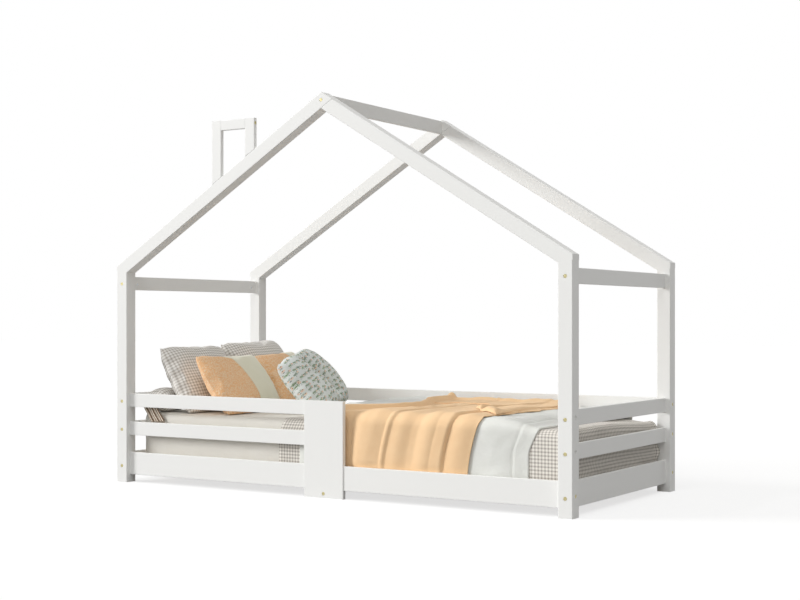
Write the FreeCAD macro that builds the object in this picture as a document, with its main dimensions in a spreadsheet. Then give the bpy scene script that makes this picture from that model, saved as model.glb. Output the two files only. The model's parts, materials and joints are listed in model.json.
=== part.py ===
"""House frame bed for a child: a low bed for a 900 mm mattress under a gabled frame of square timber.

The bed is seen from the front, its long side. X runs to the right along the bed, Y to the back and Z up.
The origin is on the floor, under the middle of the bed. The head is at the left end.
"""

import FreeCAD, Part
import math
import os

import Sketcher

os.makedirs("parts", exist_ok=True)
doc = FreeCAD.newDocument("HouseBed")
V = FreeCAD.Vector
X, Y, Z = V(1, 0, 0), V(0, 1, 0), V(0, 0, 1)

# ---------------------------------------------------------------- driving dimensions, in millimetres

SIZES = {
    # the whole frame
    "length": 2080,            # over the posts, along the bed
    "width": 976,              # over the posts, across the bed
    "post_side": 55,           # square timber of the posts, and the depth of the rafters
    "post_height": 877,        # floor to the rafter seat at a post's inner face
    "seat_rise": 9,            # how much the seat climbs to the post's outer face
    "rafter_wide": 54,         # rafter seen from the front, square to its slope
    "roof_pitch": 31.7,        # degrees
    "post_round": 3,           # rounded arrises of posts and rafters
    # rails and boards
    "board_thick": 15,
    "board_round": 2,
    "rail_tall": 56,           # rails, eave beams and ridge board share one section
    "floor_gap": 32.5,         # under the boards
    "board_tall": 93,
    "mid_rail_low": 197,       # floor to the underside of the middle rails
    "top_rail_low": 315,
    "eave_drop": 15.5,         # from the rafter seat down to the top of an eave beam
    "ridge_drop": 6.8,         # from the apex down to the top of the ridge board
    # the panel that ends the fence
    "panel_wide": 180,
    "panel_thick": 19,
    "block_wide": 90,
    "block_deep": 45,
    # the chimney on the front left rafter
    "chimney_left": 530,       # from the bed's middle to the chimney's outer side
    "chimney_wide": 212,
    "chimney_rise": 122.6,     # its top over the rafter, at its outer side nearer the ridge
    "chimney_leg": 46,
    "chimney_bar": 39.5,
    "chimney_thick": 18,
    # the slatted base
    "ledger_side": 30,
    "ledger_low": 45,
    "ledger_gap": 5,           # from a ledger's end to the post
    "slat_count": 12,
    "slat_wide": 90,
    "slat_thick": 18,
    "slat_gap": 3,             # from a slat's end to the side board
    # fasteners
    "bolt_dia": 6,
    "bolt_fit": 0.6,           # hole wider than shank
    "head_dia": 13,
    "head_thick": 3,
    "head_recess": 3.5,
    "head_fit": 1.5,           # counterbore wider than head
    "socket_wide": 4,          # hex socket, across flats
    "bolt_past_nut": 8,
    "nut_dia": 10,
    "nut_long": 12,
    "nut_fit": 0.2,
    "nut_setback": 35,         # from a rail's end to its barrel nut
    "bar_nut_setback": 25,     # the same in the chimney bar
    "block_nut_setback": 22,   # the same in the panel's foot block
    "bolt_drop": 4.5,          # a bolt through a post's front or back face lies this much under mid rail
    "bolt_wall": 0.4,          # wood between its hole and that of the bolt that passes over it
    "board_bolt_drop": 6,      # both lie lower in the tall boards
    "eave_bolt_drop": 3,
    "ridge_bolt_rise": 4,
    "panel_bolt_high": 16.5,
    "dowel_dia": 8,
    "dowel_long": 40,
    "dowel_fit": 0.2,
    "dowel_rise": 16,          # from a rail's middle up to its dowel
    "board_dowel_step": 27,    # from a board's middle to its two dowels
    "frame_dowel_dia": 10,
    "frame_dowel_long": 50,
    "frame_dowel_step": 14,    # from the timber's middle to each of its two dowels
    "screw_dia": 4,
    "screw_long": 40,
    "screw_head": 8,
    "screw_fit": 0.2,
    "ledger_screws": 4,
    # mattress and bedding
    "head_gap": 30,            # from the mattress to the posts' inner faces
    "foot_gap": 5,
    "front_gap": 25,           # from the mattress to the side boards
    "back_gap": 15,
    "mattress_tall": 198,
    "mattress_round": 25,
    "blanket_thick": 2.5,
    "blanket_head": 720,       # from the mattress's head end to the blanket's edge
    "cloth_tuck": 21.5,        # how far the cloths reach down behind the boards
    "duvet_thick": 34,         # on top of the bed
    "duvet_side": 11,          # where it hangs
    "duvet_round": 42,
    "duvet_head": 830,         # from the mattress's head end to the duvet's edge
    "duvet_foot": 130,         # from its foot end
    "throw_thick": 4,
    "throw_left": 15,          # from the middle of the fence panel, which hides its edge
    "throw_wide": 630,
    "small_cloth_head": 10,    # from the mattress's head end to the small striped cloth
    "small_cloth_wide": 125,
    "small_cloth_tall": 76,
    "small_cloth_thick": 12,
    "small_cloth_rise": 30,    # how far it stands above the mattress
    # clearances
    "joint_gap": 0.2,          # in the cross-halving of panel and board
    "soft_gap": 0.3,           # between soft pieces
}

# Cushions. First where a cushion lies across the bed: its two edges, each from the mattress's front, back or
# middle. Then its other side, its thickness, how far its middle is from the mattress's head end, its lean
# back from flat, its roll in its own plane, and what it lies on.
CUSHIONS = {
    "pillow_check_front": (("front", 23), ("middle", -2), 325, 125, 153, 59, 0, "mattress"),
    "pillow_check_back": (("middle", 2), ("back", -1), 340, 125, 147, 60, 0, "mattress"),
    "pillow_colour_front": (("front", 32), ("middle", -8), 300, 112, 345, 54, 0, "mattress"),
    "pillow_colour_back": (("middle", 3), ("middle", 337), 305, 108, 333, 57, 4, "mattress"),
    "pillow_floral": (("middle", -245), ("middle", 27), 272, 140, 653, 51, 15, "blanket"),
    "pillow_check_small": (("front", -4), ("front", 206), 120, 110, 55, 0, 0, "mattress"),
}

# The throw's folds: distance from its left edge, and how far it stands out from the duvet there.
THROW_FOLDS = ((0, 0), (76, 3), (118, 13), (160, 2), (225, 6), (285, 1), (345, 10), (390, 2), (440, 9),
               (500, 3), (560, 12), (600, 5), (630, 0))

sheet = doc.addObject("Spreadsheet::Sheet", "Sizes")
for row, (word, number) in enumerate(SIZES.items(), start=1):
    sheet.set(f"A{row}", word)
    sheet.set(f"B{row}", str(number))
    sheet.setAlias(f"B{row}", word)
doc.recompute()


class Size:
    """A number and its formula on the sheet, kept together through ordinary arithmetic."""

    def __init__(self, value, formula):
        self.value = float(value)
        self.formula = formula

    def combine(self, sign, other, value):
        text = other.formula if isinstance(other, Size) else f"{other:g}"
        return Size(value, f"({self.formula} {sign} {text})")

    def __add__(self, other):
        return self.combine("+", other, self.value + number(other))

    def __sub__(self, other):
        return self.combine("-", other, self.value - number(other))

    def __mul__(self, other):
        return self.combine("*", other, self.value * number(other))

    def __truediv__(self, other):
        return self.combine("/", other, self.value / number(other))

    def __neg__(self):
        return Size(-self.value, f"(-{self.formula})")


def number(value):
    return value.value if isinstance(value, Size) else float(value)


def size(word):
    return Size(sheet.get(word), f"Sizes.{word}")


def tangent(angle):
    return Size(math.tan(math.radians(angle.value)), f"tan({angle.formula})")


def cosine(angle):
    return Size(math.cos(math.radians(angle.value)), f"cos({angle.formula})")


def bind(item, name, value):
    """Ties a property of an item to its formula on the sheet."""
    if isinstance(value, Size):
        item.setExpression(name, value.formula)
    else:
        setattr(item, name, value)


def bind_place(item, corner):
    for axis, value in zip("xyz", corner):
        if isinstance(value, Size):
            item.setExpression(f"Placement.Base.{axis}", value.formula)


# ---------------------------------------------------------------- places that the pieces share

NONE = size("length") * 0
POST = size("post_side")
OUT_X, OUT_Y = size("length") / 2, size("width") / 2       # outer faces of the posts
IN_X, IN_Y = OUT_X - POST, OUT_Y - POST                    # their inner faces
MID_X, MID_Y = OUT_X - POST / 2, OUT_Y - POST / 2          # their middles
BOARD = size("board_thick")
BOARD_OUT_X, BOARD_OUT_Y = MID_X + BOARD / 2, MID_Y + BOARD / 2
BOARD_IN_X, BOARD_IN_Y = MID_X - BOARD / 2, MID_Y - BOARD / 2
RAIL = size("rail_tall")
SLOPE = tangent(size("roof_pitch"))
RAFTER_TALL = size("rafter_wide") / cosine(size("roof_pitch"))      # measured straight up
APEX = size("post_height") + RAFTER_TALL + IN_X * SLOPE
RIDGE_LOW = APEX - size("ridge_drop") - RAIL
LEVELS = {                                                 # low edge and height of what runs round the bed
    "board": (size("floor_gap"), size("board_tall")),
    "mid": (size("mid_rail_low"), RAIL),
    "top": (size("top_rail_low"), RAIL),
    "eave": (size("post_height") - size("eave_drop") - RAIL, RAIL),
}
BOLT_STEP = size("bolt_dia") + size("bolt_fit") + size("bolt_wall")     # between two bolts that cross
FACE_DROP = {                                              # bolts through front and back faces
    "board": size("board_bolt_drop") + size("bolt_drop"),
    "mid": size("bolt_drop"),
    "top": size("bolt_drop"),
    "eave": size("eave_bolt_drop"),
}
END_DROP = {                                               # bolts through end faces
    level: FACE_DROP[level] - BOLT_STEP for level in ("board", "mid", "top")
}
PANEL_HALF = size("panel_wide") / 2
PANEL_TOP = size("top_rail_low") + RAIL
LEG = size("chimney_leg")
CHIMNEY_LEGS = {
    "left": -size("chimney_left"),
    "right": -size("chimney_left") + size("chimney_wide") - LEG,
}
CHIMNEY_NEAR = size("chimney_left") - size("chimney_wide")          # its outer side nearer the ridge
CHIMNEY_TOP = APEX - CHIMNEY_NEAR * SLOPE + size("chimney_rise")
CHIMNEY_MID_Y = -OUT_Y + size("chimney_thick") / 2
BAR_Z = CHIMNEY_TOP - size("chimney_bar") / 2
RIDGE_BOLT_Z = RIDGE_LOW + RAIL / 2 + size("ridge_bolt_rise")
RIDGE_DOWEL_Z = RIDGE_LOW + RAIL / 2 - size("dowel_rise")
LEDGER_TOP = size("ledger_low") + size("ledger_side")
SLAT_TOP = LEDGER_TOP + size("slat_thick")
SLATS = int(SIZES["slat_count"])
SLAT_PITCH = BOARD_IN_X * 2 / SLATS


def middle(level):
    low, tall = LEVELS[level]
    return low + tall / 2


def dowel_heights(level):
    if level == "board":
        step = size("board_dowel_step")
        return [middle(level) + step, middle(level) - step]
    return [middle(level) + size("dowel_rise")]


# ---------------------------------------------------------------- how a piece is made

finished = {}
bolts, nuts, dowels, frame_dowels, screws = [], [], [], [], []


def finish(item, name):
    item.Label = name
    finished[name] = item
    return item


def outline(sketch, points):
    """A closed outline whose corners are tied to formulas on the sheet."""
    spots = [V(number(a), number(b), 0) for a, b in points]
    for one, two in zip(spots, spots[1:] + spots[:1]):
        sketch.addGeometry(Part.LineSegment(one, two), False)
    for k in range(len(points)):
        sketch.addConstraint(Sketcher.Constraint("Coincident", k, 2, (k + 1) % len(points), 1))
    for k, pair in enumerate(points):
        for kind, value in zip(("DistanceX", "DistanceY"), pair):
            index = sketch.addConstraint(Sketcher.Constraint(kind, -1, 1, k, 1, number(value)))
            if isinstance(value, Size):
                sketch.setExpression(f"Constraints[{index}]", value.formula)


PLANES = {"X": "YZ_Plane", "Y": "XZ_Plane", "Z": "XY_Plane"}


def timber(name, across, points, long, corner, grain, rounding):
    """A sawn piece: an outline square to one axis, given its depth, the arrises along the grain rounded."""
    body = doc.addObject("PartDesign::Body", name)
    sketch = body.newObject("Sketcher::SketchObject", f"{name}_outline")
    plane = next(f for f in body.Origin.OriginFeatures if f.Role == PLANES[across])
    sketch.AttachmentSupport = [(plane, "")]
    sketch.MapMode = "FlatFace"
    outline(sketch, points)
    pad = body.newObject("PartDesign::Pad", f"{name}_pad")
    pad.Profile = sketch
    bind(pad, "Length", long)
    pad.Reversed = across == "Y"           # an outline seen from the front grows towards the back
    doc.recompute()
    edges = [f"Edge{k}" for k, edge in enumerate(pad.Shape.Edges, start=1)
             if edge.tangentAt(edge.FirstParameter).cross(grain).Length < 1e-6]
    if rounding is not None:
        fillet = body.newObject("PartDesign::Fillet", f"{name}_arris")
        fillet.Base = (pad, edges)
        bind(fillet, "Radius", rounding)
    bind_place(body, corner)
    return body


def box_timber(name, low, span, grain, rounding):
    """A straight piece with a rectangular section, by its low corner and its three spans."""
    across = {"X": 0, "Y": 1, "Z": 2}[grain]
    section = {0: (1, 2), 1: (0, 2), 2: (0, 1)}[across]
    wide, tall = span[section[0]], span[section[1]]
    points = [(NONE, NONE), (wide, NONE), (wide, tall), (NONE, tall)]
    direction = {"X": X, "Y": Y, "Z": Z}[grain]
    return timber(name, grain, points, span[across], low, direction, rounding)


def spot_of(values):
    return V(*[number(value) for value in values])


def rod(radius, long, start, direction):
    """A round tool that cuts a hole, from its start along a direction."""
    item = doc.addObject("Part::Cylinder", "hole")
    bind(item, "Radius", radius)
    bind(item, "Height", long)
    item.Placement = FreeCAD.Placement(spot_of(start), FreeCAD.Rotation(Z, direction))
    bind_place(item, start)
    return item


def drilled(name, base, tools):
    """The piece with its holes."""
    if not tools:
        return finish(base, name)
    cutter = tools[0]
    if len(tools) > 1:
        cutter = doc.addObject("Part::MultiFuse", f"{name}_holes")
        cutter.Shapes = tools
    cut = doc.addObject("Part::Cut", f"{name}_drilled")
    cut.Base = base
    cut.Tool = cutter
    return finish(cut, name)


def aim(direction):
    """The signs of a unit vector as plain numbers, to step along it from a point tied to the sheet."""
    return [direction.x, direction.y, direction.z]


def along(start, direction, step):
    return tuple(value + (step * sign if abs(sign) > 1e-9 else NONE)
                 for value, sign in zip(start, aim(direction)))


BOLT_HOLE = (size("bolt_dia") + size("bolt_fit")) / 2
HEAD_HOLE = (size("head_dia") + size("head_fit")) / 2
NUT_HOLE = (size("nut_dia") + size("nut_fit")) / 2
DOWEL_HOLE = (size("dowel_dia") + size("dowel_fit")) / 2
FRAME_DOWEL_HOLE = (size("frame_dowel_dia") + size("dowel_fit")) / 2
SCREW_HOLE = (size("screw_dia") + size("screw_fit")) / 2


def bolt_way(start, inward, thick):
    """The recess and the through hole of one bolt, from the face where its head lies."""
    return [rod(HEAD_HOLE, size("head_recess"), start, inward), rod(BOLT_HOLE, thick, start, inward)]


def nut_way(end, inward, side, setback, half_thick):
    """In the piece that the bolt pulls tight: its hole from the end, and the nut's hole from one face."""
    spot = along(end, inward, setback)
    mouth = along(spot, side, half_thick)
    return [rod(BOLT_HOLE, setback + size("bolt_past_nut") + size("nut_fit"), end, inward),
            rod(NUT_HOLE, half_thick + size("nut_long") / 2, mouth, -side)]


def bolt_and_nut(start, inward, thick, setback, side):
    """Notes one bolt, with its head at the start, and the barrel nut that it turns into."""
    end = along(start, inward, thick)
    bolts.append((start, inward, thick + setback))
    nuts.append((along(end, inward, setback), side))


# ---------------------------------------------------------------- posts


def post(name, sign_x, sign_y, has_front_rails):
    """A post ends in a seat that climbs to its outer face. The bolts of both directions cross inside it."""
    inner, outer = IN_X * sign_x, OUT_X * sign_x
    high_in, high_out = size("post_height"), size("post_height") + size("seat_rise")
    points = [(inner, NONE), (outer, NONE), (outer, high_out), (inner, high_in)]
    low_y = -OUT_Y if sign_y < 0 else IN_Y
    body = timber(name, "Y", points, POST, (NONE, low_y, NONE), Z, size("post_round"))
    mid_x, mid_y = MID_X * sign_x, MID_Y * sign_y
    inward_x, inward_y = X * -sign_x, Y * -sign_y
    tools = []
    for level in LEVELS:
        height = middle(level) - FACE_DROP[level]
        start = (mid_x, OUT_Y * sign_y, height)
        tools += bolt_way(start, inward_y, POST)
        bolt_and_nut(start, inward_y, POST, size("nut_setback"), inward_x)
        for dowel_height in dowel_heights(level):
            mouth = (mid_x, IN_Y * sign_y, dowel_height)
            tools.append(rod(DOWEL_HOLE, size("dowel_long") / 2, mouth, -inward_y))
            dowels.append((mouth, inward_y))
        if level in END_DROP:
            start = (OUT_X * sign_x, mid_y, middle(level) - END_DROP[level])
            tools += bolt_way(start, inward_x, POST)
            if level != "board" and not has_front_rails:
                continue                       # spare holes, for a fence on the other side
            bolt_and_nut(start, inward_x, POST, size("nut_setback"), inward_y)
            for dowel_height in dowel_heights(level):
                mouth = (IN_X * sign_x, mid_y, dowel_height)
                tools.append(rod(DOWEL_HOLE, size("dowel_long") / 2, mouth, -inward_x))
                dowels.append((mouth, inward_x))
    seat = size("post_height") + size("seat_rise") / 2
    for step in (-1, 1):
        top = (mid_x, mid_y + size("frame_dowel_step") * step, seat)
        low = along(top, Z, size("frame_dowel_long") / -2)
        tools.append(rod(FRAME_DOWEL_HOLE, size("frame_dowel_long"), low, Z))
        frame_dowels.append((top, Z))
    return drilled(name, body, tools)


post("post_front_left", -1, -1, True)
post("post_front_right", 1, -1, False)
post("post_back_left", -1, 1, True)
post("post_back_right", 1, 1, True)

# ---------------------------------------------------------------- rafters and ridge


def rafter_line(across, drop):
    """Height of a rafter's upper edge, less a drop, at a distance from the bed's middle."""
    return APEX - across * SLOPE - drop


def rafter(name, sign_x, sign_y):
    """The left rafter runs over the apex, cut along the right slope, and the right one butts under it."""
    low_y = -OUT_Y if sign_y < 0 else IN_Y
    foot = [(IN_X * sign_x, size("post_height")),
            (OUT_X * sign_x, size("post_height") + size("seat_rise")),
            (OUT_X * sign_x, rafter_line(OUT_X, NONE))]
    tip_x = RAFTER_TALL / SLOPE / 2            # where the left rafter's underside meets the right slope
    tip = (tip_x, rafter_line(tip_x, NONE))
    if sign_x < 0:
        points = foot + [(NONE, APEX), tip]
    else:
        points = foot + [tip, (NONE, APEX - RAFTER_TALL)]
    pitch = math.radians(size("roof_pitch").value)
    grain = V(math.cos(pitch), 0, -math.sin(pitch) * sign_x)
    body = timber(name, "Y", points, POST, (NONE, low_y, NONE), grain, size("post_round"))
    mid_y = MID_Y * sign_y
    tools = []
    for step in (-1, 1):
        y = mid_y + size("frame_dowel_step") * step
        seat = (MID_X * sign_x, y, size("post_height") + size("seat_rise") / 2)
        low = along(seat, Z, size("frame_dowel_long") / -2)
        tools.append(rod(FRAME_DOWEL_HOLE, size("frame_dowel_long"), low, Z))
        joint_x = tip_x / 2
        joint = (joint_x, y, APEX - RAFTER_TALL + joint_x * SLOPE)
        square = V(-math.sin(pitch), 0, math.cos(pitch))
        low = along(joint, square, size("frame_dowel_long") / -2)
        tools.append(rod(FRAME_DOWEL_HOLE, size("frame_dowel_long"), low, square))
        if sign_x < 0:
            frame_dowels.append((joint, square))
    if sign_x < 0:
        inward = Y * -sign_y
        start = (NONE, OUT_Y * sign_y, RIDGE_BOLT_Z)
        tools += bolt_way(start, inward, POST)
        bolt_and_nut(start, inward, POST, size("nut_setback"), -X)
        mouth = (NONE, IN_Y * sign_y, RIDGE_DOWEL_Z)
        tools.append(rod(DOWEL_HOLE, size("dowel_long") / 2, mouth, -inward))
        dowels.append((mouth, inward))
    if name == "rafter_front_left":
        for leg_x in CHIMNEY_LEGS.values():
            x = leg_x + LEG / 2
            top = (x, CHIMNEY_MID_Y, rafter_line(-x, NONE))
            tools.append(rod(DOWEL_HOLE, size("dowel_long"), along(top, Z, size("dowel_long") / -2), Z))
            dowels.append((top, Z))
    return drilled(name, body, tools)


for side, sign_x in (("left", -1), ("right", 1)):
    rafter(f"rafter_front_{side}", sign_x, -1)
    rafter(f"rafter_back_{side}", sign_x, 1)


def rail(name, low, span, grain, ends, rounding=size("board_round"), extra=()):
    """A board between two posts. Each end has its point at mid thickness, the way in, the heights of the bolt
    and the dowels, and the side that the nut goes in from.
    """
    body = box_timber(name, low, span, grain, rounding)
    tools = list(extra)
    for (x, y), inward, bolt_z, dowel_zs, side in ends:
        if bolt_z is not None:
            tools += nut_way((x, y, bolt_z), inward, side, size("nut_setback"), BOARD / 2)
        for dowel_z in dowel_zs:
            tools.append(rod(DOWEL_HOLE, size("dowel_long") / 2, (x, y, dowel_z), inward))
    return drilled(name, body, tools)


rail("ridge_board", (-BOARD / 2, -IN_Y, RIDGE_LOW), (BOARD, IN_Y * 2, RAIL), "Y",
     [((NONE, IN_Y * sign), Y * -sign, RIDGE_BOLT_Z, [RIDGE_DOWEL_Z], -X) for sign in (-1, 1)])

# ---------------------------------------------------------------- rails and boards of the two ends


def end_rail(name, sign_x, level):
    low, tall = LEVELS[level]
    low_x = -BOARD_OUT_X if sign_x < 0 else BOARD_IN_X
    height = middle(level) - FACE_DROP[level]
    ends = [((MID_X * sign_x, IN_Y * sign), Y * -sign, height, dowel_heights(level), X * -sign_x)
            for sign in (-1, 1)]
    return rail(name, (low_x, -IN_Y, low), (BOARD, IN_Y * 2, tall), "Y", ends)


for side, sign_x in (("left", -1), ("right", 1)):
    end_rail(f"end_board_{side}", sign_x, "board")
    end_rail(f"end_rail_{side}_mid", sign_x, "mid")
    end_rail(f"end_rail_{side}_top", sign_x, "top")
    end_rail(f"eave_beam_{side}", sign_x, "eave")

# ---------------------------------------------------------------- rails and boards of the two long sides

LEDGER_SCREW_Z = size("ledger_low") + size("ledger_side") / 2


def ledger_screw_places():
    """A ledger's screws lie midway between slats, evenly over its length."""
    count = int(SIZES["ledger_screws"])
    step = (SLATS - 2) / (count - 1)
    return [SLAT_PITCH * (1 + round(k * step)) - BOARD_IN_X for k in range(count)]


def long_rail(name, sign_y, level, x_from=None, x_to=None, bolted=(-1, 1), extra=()):
    x_from = -IN_X if x_from is None else x_from
    x_to = IN_X if x_to is None else x_to
    low, tall = LEVELS[level]
    low_y = -BOARD_OUT_Y if sign_y < 0 else BOARD_IN_Y
    height = middle(level) - END_DROP[level]
    ends = []
    for sign, x in ((-1, x_from), (1, x_to)):
        bolt_z = height if sign in bolted else None
        heights = dowel_heights(level) if sign in bolted else fence_dowels(level)
        ends.append(((x, MID_Y * sign_y), X * -sign, bolt_z, heights, Y * -sign_y))
    return rail(name, (x_from, low_y, low), (x_to - x_from, BOARD, tall), "X", ends, extra=extra)


def fence_dowels(level):
    """Where a fence rail butts against the panel it has two dowels and no bolt."""
    return [middle(level) + size("dowel_rise"), middle(level) - size("dowel_rise")]


def side_board(name, sign_y):
    """The ledger's screws end in it. The front one is halved where the panel crosses it."""
    inner = BOARD_IN_Y * sign_y
    start_y = inner + -(size("ledger_side")) * sign_y
    tools = [rod(SCREW_HOLE, size("screw_long"), (x, start_y, LEDGER_SCREW_Z), Y * sign_y)
             for x in ledger_screw_places()]
    if sign_y < 0:
        gap = size("joint_gap")
        notch = doc.addObject("Part::Box", "board_halving")
        bind(notch, "Length", PANEL_HALF * 2 + gap * 2)
        bind(notch, "Width", BOARD / 2 + gap)
        bind(notch, "Height", size("board_tall") + gap * 2)
        bind_place(notch, (-PANEL_HALF - gap, -BOARD_OUT_Y - gap, size("floor_gap") - gap))
        tools.append(notch)
    return long_rail(name, sign_y, "board", extra=tools)


side_board("side_board_front", -1)
side_board("side_board_back", 1)
for level in ("mid", "top"):
    long_rail(f"back_rail_{level}", 1, level)
    long_rail(f"fence_rail_{level}", -1, level, x_to=-PANEL_HALF, bolted=(-1,))

# ---------------------------------------------------------------- the fence panel and its foot

PANEL_OUT_Y = -BOARD_IN_Y - size("panel_thick")
PANEL_BOLT = (NONE, PANEL_OUT_Y, size("panel_bolt_high"))


def fence_panel():
    """A wide upright, flush with the boards inside the bed. It stands on the floor, halved over the board."""
    body = box_timber("fence_panel", (-PANEL_HALF, PANEL_OUT_Y, NONE),
                      (PANEL_HALF * 2, size("panel_thick"), PANEL_TOP), "Z", size("board_round"))
    gap = size("joint_gap")
    notch = doc.addObject("Part::Box", "panel_halving")
    bind(notch, "Length", PANEL_HALF * 2 + gap * 2)
    bind(notch, "Width", BOARD / 2 + gap)
    bind(notch, "Height", size("board_tall") + gap * 2)
    bind_place(notch, (-PANEL_HALF - gap, -MID_Y, size("floor_gap") - gap))
    tools = [notch] + bolt_way(PANEL_BOLT, Y, size("panel_thick"))
    for level in ("mid", "top"):
        for height in fence_dowels(level):
            mouth = (-PANEL_HALF, -MID_Y, height)
            tools.append(rod(DOWEL_HOLE, size("dowel_long") / 2, mouth, X))
            dowels.append((mouth, X))
    return drilled("fence_panel", body, tools)


def panel_foot_block():
    """It fills the space behind the panel up to the ledger, and holds the panel's bolt."""
    setback = size("block_nut_setback")
    body = box_timber("panel_foot_block", (size("block_wide") / -2, -BOARD_IN_Y, NONE),
                      (size("block_wide"), size("block_deep"), size("ledger_low")), "X", size("board_round"))
    end = (NONE, -BOARD_IN_Y, size("panel_bolt_high"))
    spot = along(end, Y, setback)
    low = along(spot, Z, size("nut_long") / -2)
    tools = [rod(BOLT_HOLE, setback + size("bolt_past_nut") + size("nut_fit"), end, Y),
             rod(NUT_HOLE, size("ledger_low"), low, Z)]
    return drilled("panel_foot_block", body, tools)


fence_panel()
panel_foot_block()
short_bolts = [(PANEL_BOLT, Y, size("panel_thick") + size("block_nut_setback"))]
nuts.append((along(PANEL_BOLT, Y, size("panel_thick") + size("block_nut_setback")), Z))

# ---------------------------------------------------------------- chimney


def chimney_leg(name, low_x, sign_x):
    """A flat upright flush with the front of the rafter and cut to its slope below."""
    high_x = low_x + LEG
    top = CHIMNEY_TOP
    points = [(low_x, rafter_line(-low_x, NONE)), (high_x, rafter_line(-high_x, NONE)),
              (high_x, top), (low_x, top)]
    body = timber(name, "Y", points, size("chimney_thick"), (NONE, -OUT_Y, NONE), Z, size("board_round"))
    outer = low_x if sign_x < 0 else high_x
    inner = high_x if sign_x < 0 else low_x
    inward = X * -sign_x
    start = (outer, CHIMNEY_MID_Y, BAR_Z)
    setback = size("bar_nut_setback")
    short_bolts.append((start, inward, LEG + setback))
    nuts.append((along((inner, CHIMNEY_MID_Y, BAR_Z), inward, setback), Y))
    middle_x = low_x + LEG / 2
    foot = (middle_x, CHIMNEY_MID_Y, rafter_line(-middle_x, NONE))
    low = along(foot, Z, size("dowel_long") / -2)
    tools = bolt_way(start, inward, LEG) + [rod(DOWEL_HOLE, size("dowel_long"), low, Z)]
    return drilled(name, body, tools)


def chimney_bar():
    low_x = CHIMNEY_LEGS["left"] + LEG
    high_x = CHIMNEY_LEGS["right"]
    thick = size("chimney_thick")
    body = box_timber("chimney_bar", (low_x, -OUT_Y, CHIMNEY_TOP - size("chimney_bar")),
                      (high_x - low_x, thick, size("chimney_bar")), "X", size("board_round"))
    tools = []
    for x, inward in ((low_x, X), (high_x, -X)):
        tools += nut_way((x, CHIMNEY_MID_Y, BAR_Z), inward, Y, size("bar_nut_setback"), thick / 2)
    return drilled("chimney_bar", body, tools)


chimney_leg("chimney_upright_left", CHIMNEY_LEGS["left"], -1)
chimney_leg("chimney_upright_right", CHIMNEY_LEGS["right"], 1)
chimney_bar()

# ---------------------------------------------------------------- slatted base

SLAT_END_Y = BOARD_IN_Y - size("slat_gap")
SLAT_SCREW_Y = BOARD_IN_Y - size("ledger_side") / 2


def slat_middle(k):
    return SLAT_PITCH * (k + 0.5) - BOARD_IN_X


def ledger(name, sign_y):
    """A square batten along the inner face of a side board, where the slats lie."""
    inner = BOARD_IN_Y - size("ledger_side")
    low_y = -BOARD_IN_Y if sign_y < 0 else inner
    end_x = IN_X - size("ledger_gap")
    body = box_timber(name, (-end_x, low_y, size("ledger_low")),
                      (end_x * 2, size("ledger_side"), size("ledger_side")), "X", size("board_round"))
    tools = []
    for k in range(SLATS):
        head = (slat_middle(k), SLAT_SCREW_Y * sign_y, SLAT_TOP)
        tools.append(rod(SCREW_HOLE, size("screw_long"), head, -Z))
        screws.append((head, -Z))
    for x in ledger_screw_places():
        head = (x, inner * sign_y, LEDGER_SCREW_Z)
        tools.append(rod(SCREW_HOLE, size("screw_long"), head, Y * sign_y))
        tools.append(countersink(head, Y * sign_y))
        screws.append((head, Y * sign_y))
    return drilled(name, body, tools)


def countersink(head, direction):
    """The cone that a screw's head sits in."""
    item = doc.addObject("Part::Cone", "countersink")
    bind(item, "Radius1", (size("screw_head") + size("screw_fit")) / 2)
    bind(item, "Radius2", SCREW_HOLE)
    bind(item, "Height", (size("screw_head") - size("screw_dia")) / 2)
    item.Placement = FreeCAD.Placement(spot_of(head), FreeCAD.Rotation(Z, direction))
    bind_place(item, head)
    return item


def slat(k):
    body = box_timber(f"slat_{k + 1:02d}", (slat_middle(k) - size("slat_wide") / 2, -SLAT_END_Y, LEDGER_TOP),
                      (size("slat_wide"), SLAT_END_Y * 2, size("slat_thick")), "Y", size("board_round"))
    tools = []
    for sign in (-1, 1):
        head = (slat_middle(k), SLAT_SCREW_Y * sign, SLAT_TOP)
        tools += [rod(SCREW_HOLE, size("screw_long"), head, -Z), countersink(head, -Z)]
    return drilled(f"slat_{k + 1:02d}", body, tools)


ledger("slat_ledger_front", -1)
ledger("slat_ledger_back", 1)
for k in range(SLATS):
    slat(k)

# ---------------------------------------------------------------- fasteners, each kind a group of solids


def turned_to(shape, start, direction):
    """A copy of a fastener made at the origin along Z, put where it belongs."""
    copy = shape.copy()
    copy.Placement = FreeCAD.Placement(spot_of(start), FreeCAD.Rotation(Z, direction))
    return copy


def bolt_shape(reach):
    """A furniture bolt along +Z: a flat head with a hex socket, sunk in its recess, and a shank."""
    recess, thick = number(size("head_recess")), number(size("head_thick"))
    low = recess - thick
    head = Part.makeCylinder(number(size("head_dia")) / 2, thick, V(0, 0, low))
    rim = [edge for edge in head.Edges if edge.Closed and edge.CenterOfMass.z < low + 0.1]
    head = head.makeFillet(thick * 0.25, rim)
    long = number(reach) + number(size("bolt_past_nut")) - recess
    shank = Part.makeCylinder(number(size("bolt_dia")) / 2 - 0.1, long, V(0, 0, recess))
    flat = number(size("socket_wide")) / math.sqrt(3)
    turns = [math.radians(60 * k) for k in range(7)]
    corners = [V(flat * math.cos(turn), flat * math.sin(turn), low) for turn in turns]
    socket = Part.Face(Part.makePolygon(corners)).extrude(V(0, 0, thick * 0.8))
    return head.fuse(shank).cut(socket).removeSplitter()


def nut_shape():
    """A barrel nut along Z, pierced for the bolt."""
    long = number(size("nut_long"))
    barrel = Part.makeCylinder(number(size("nut_dia")) / 2, long, V(0, 0, -long / 2))
    return barrel.makeChamfer(0.6, barrel.Edges[:1] + barrel.Edges[2:3])


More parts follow.
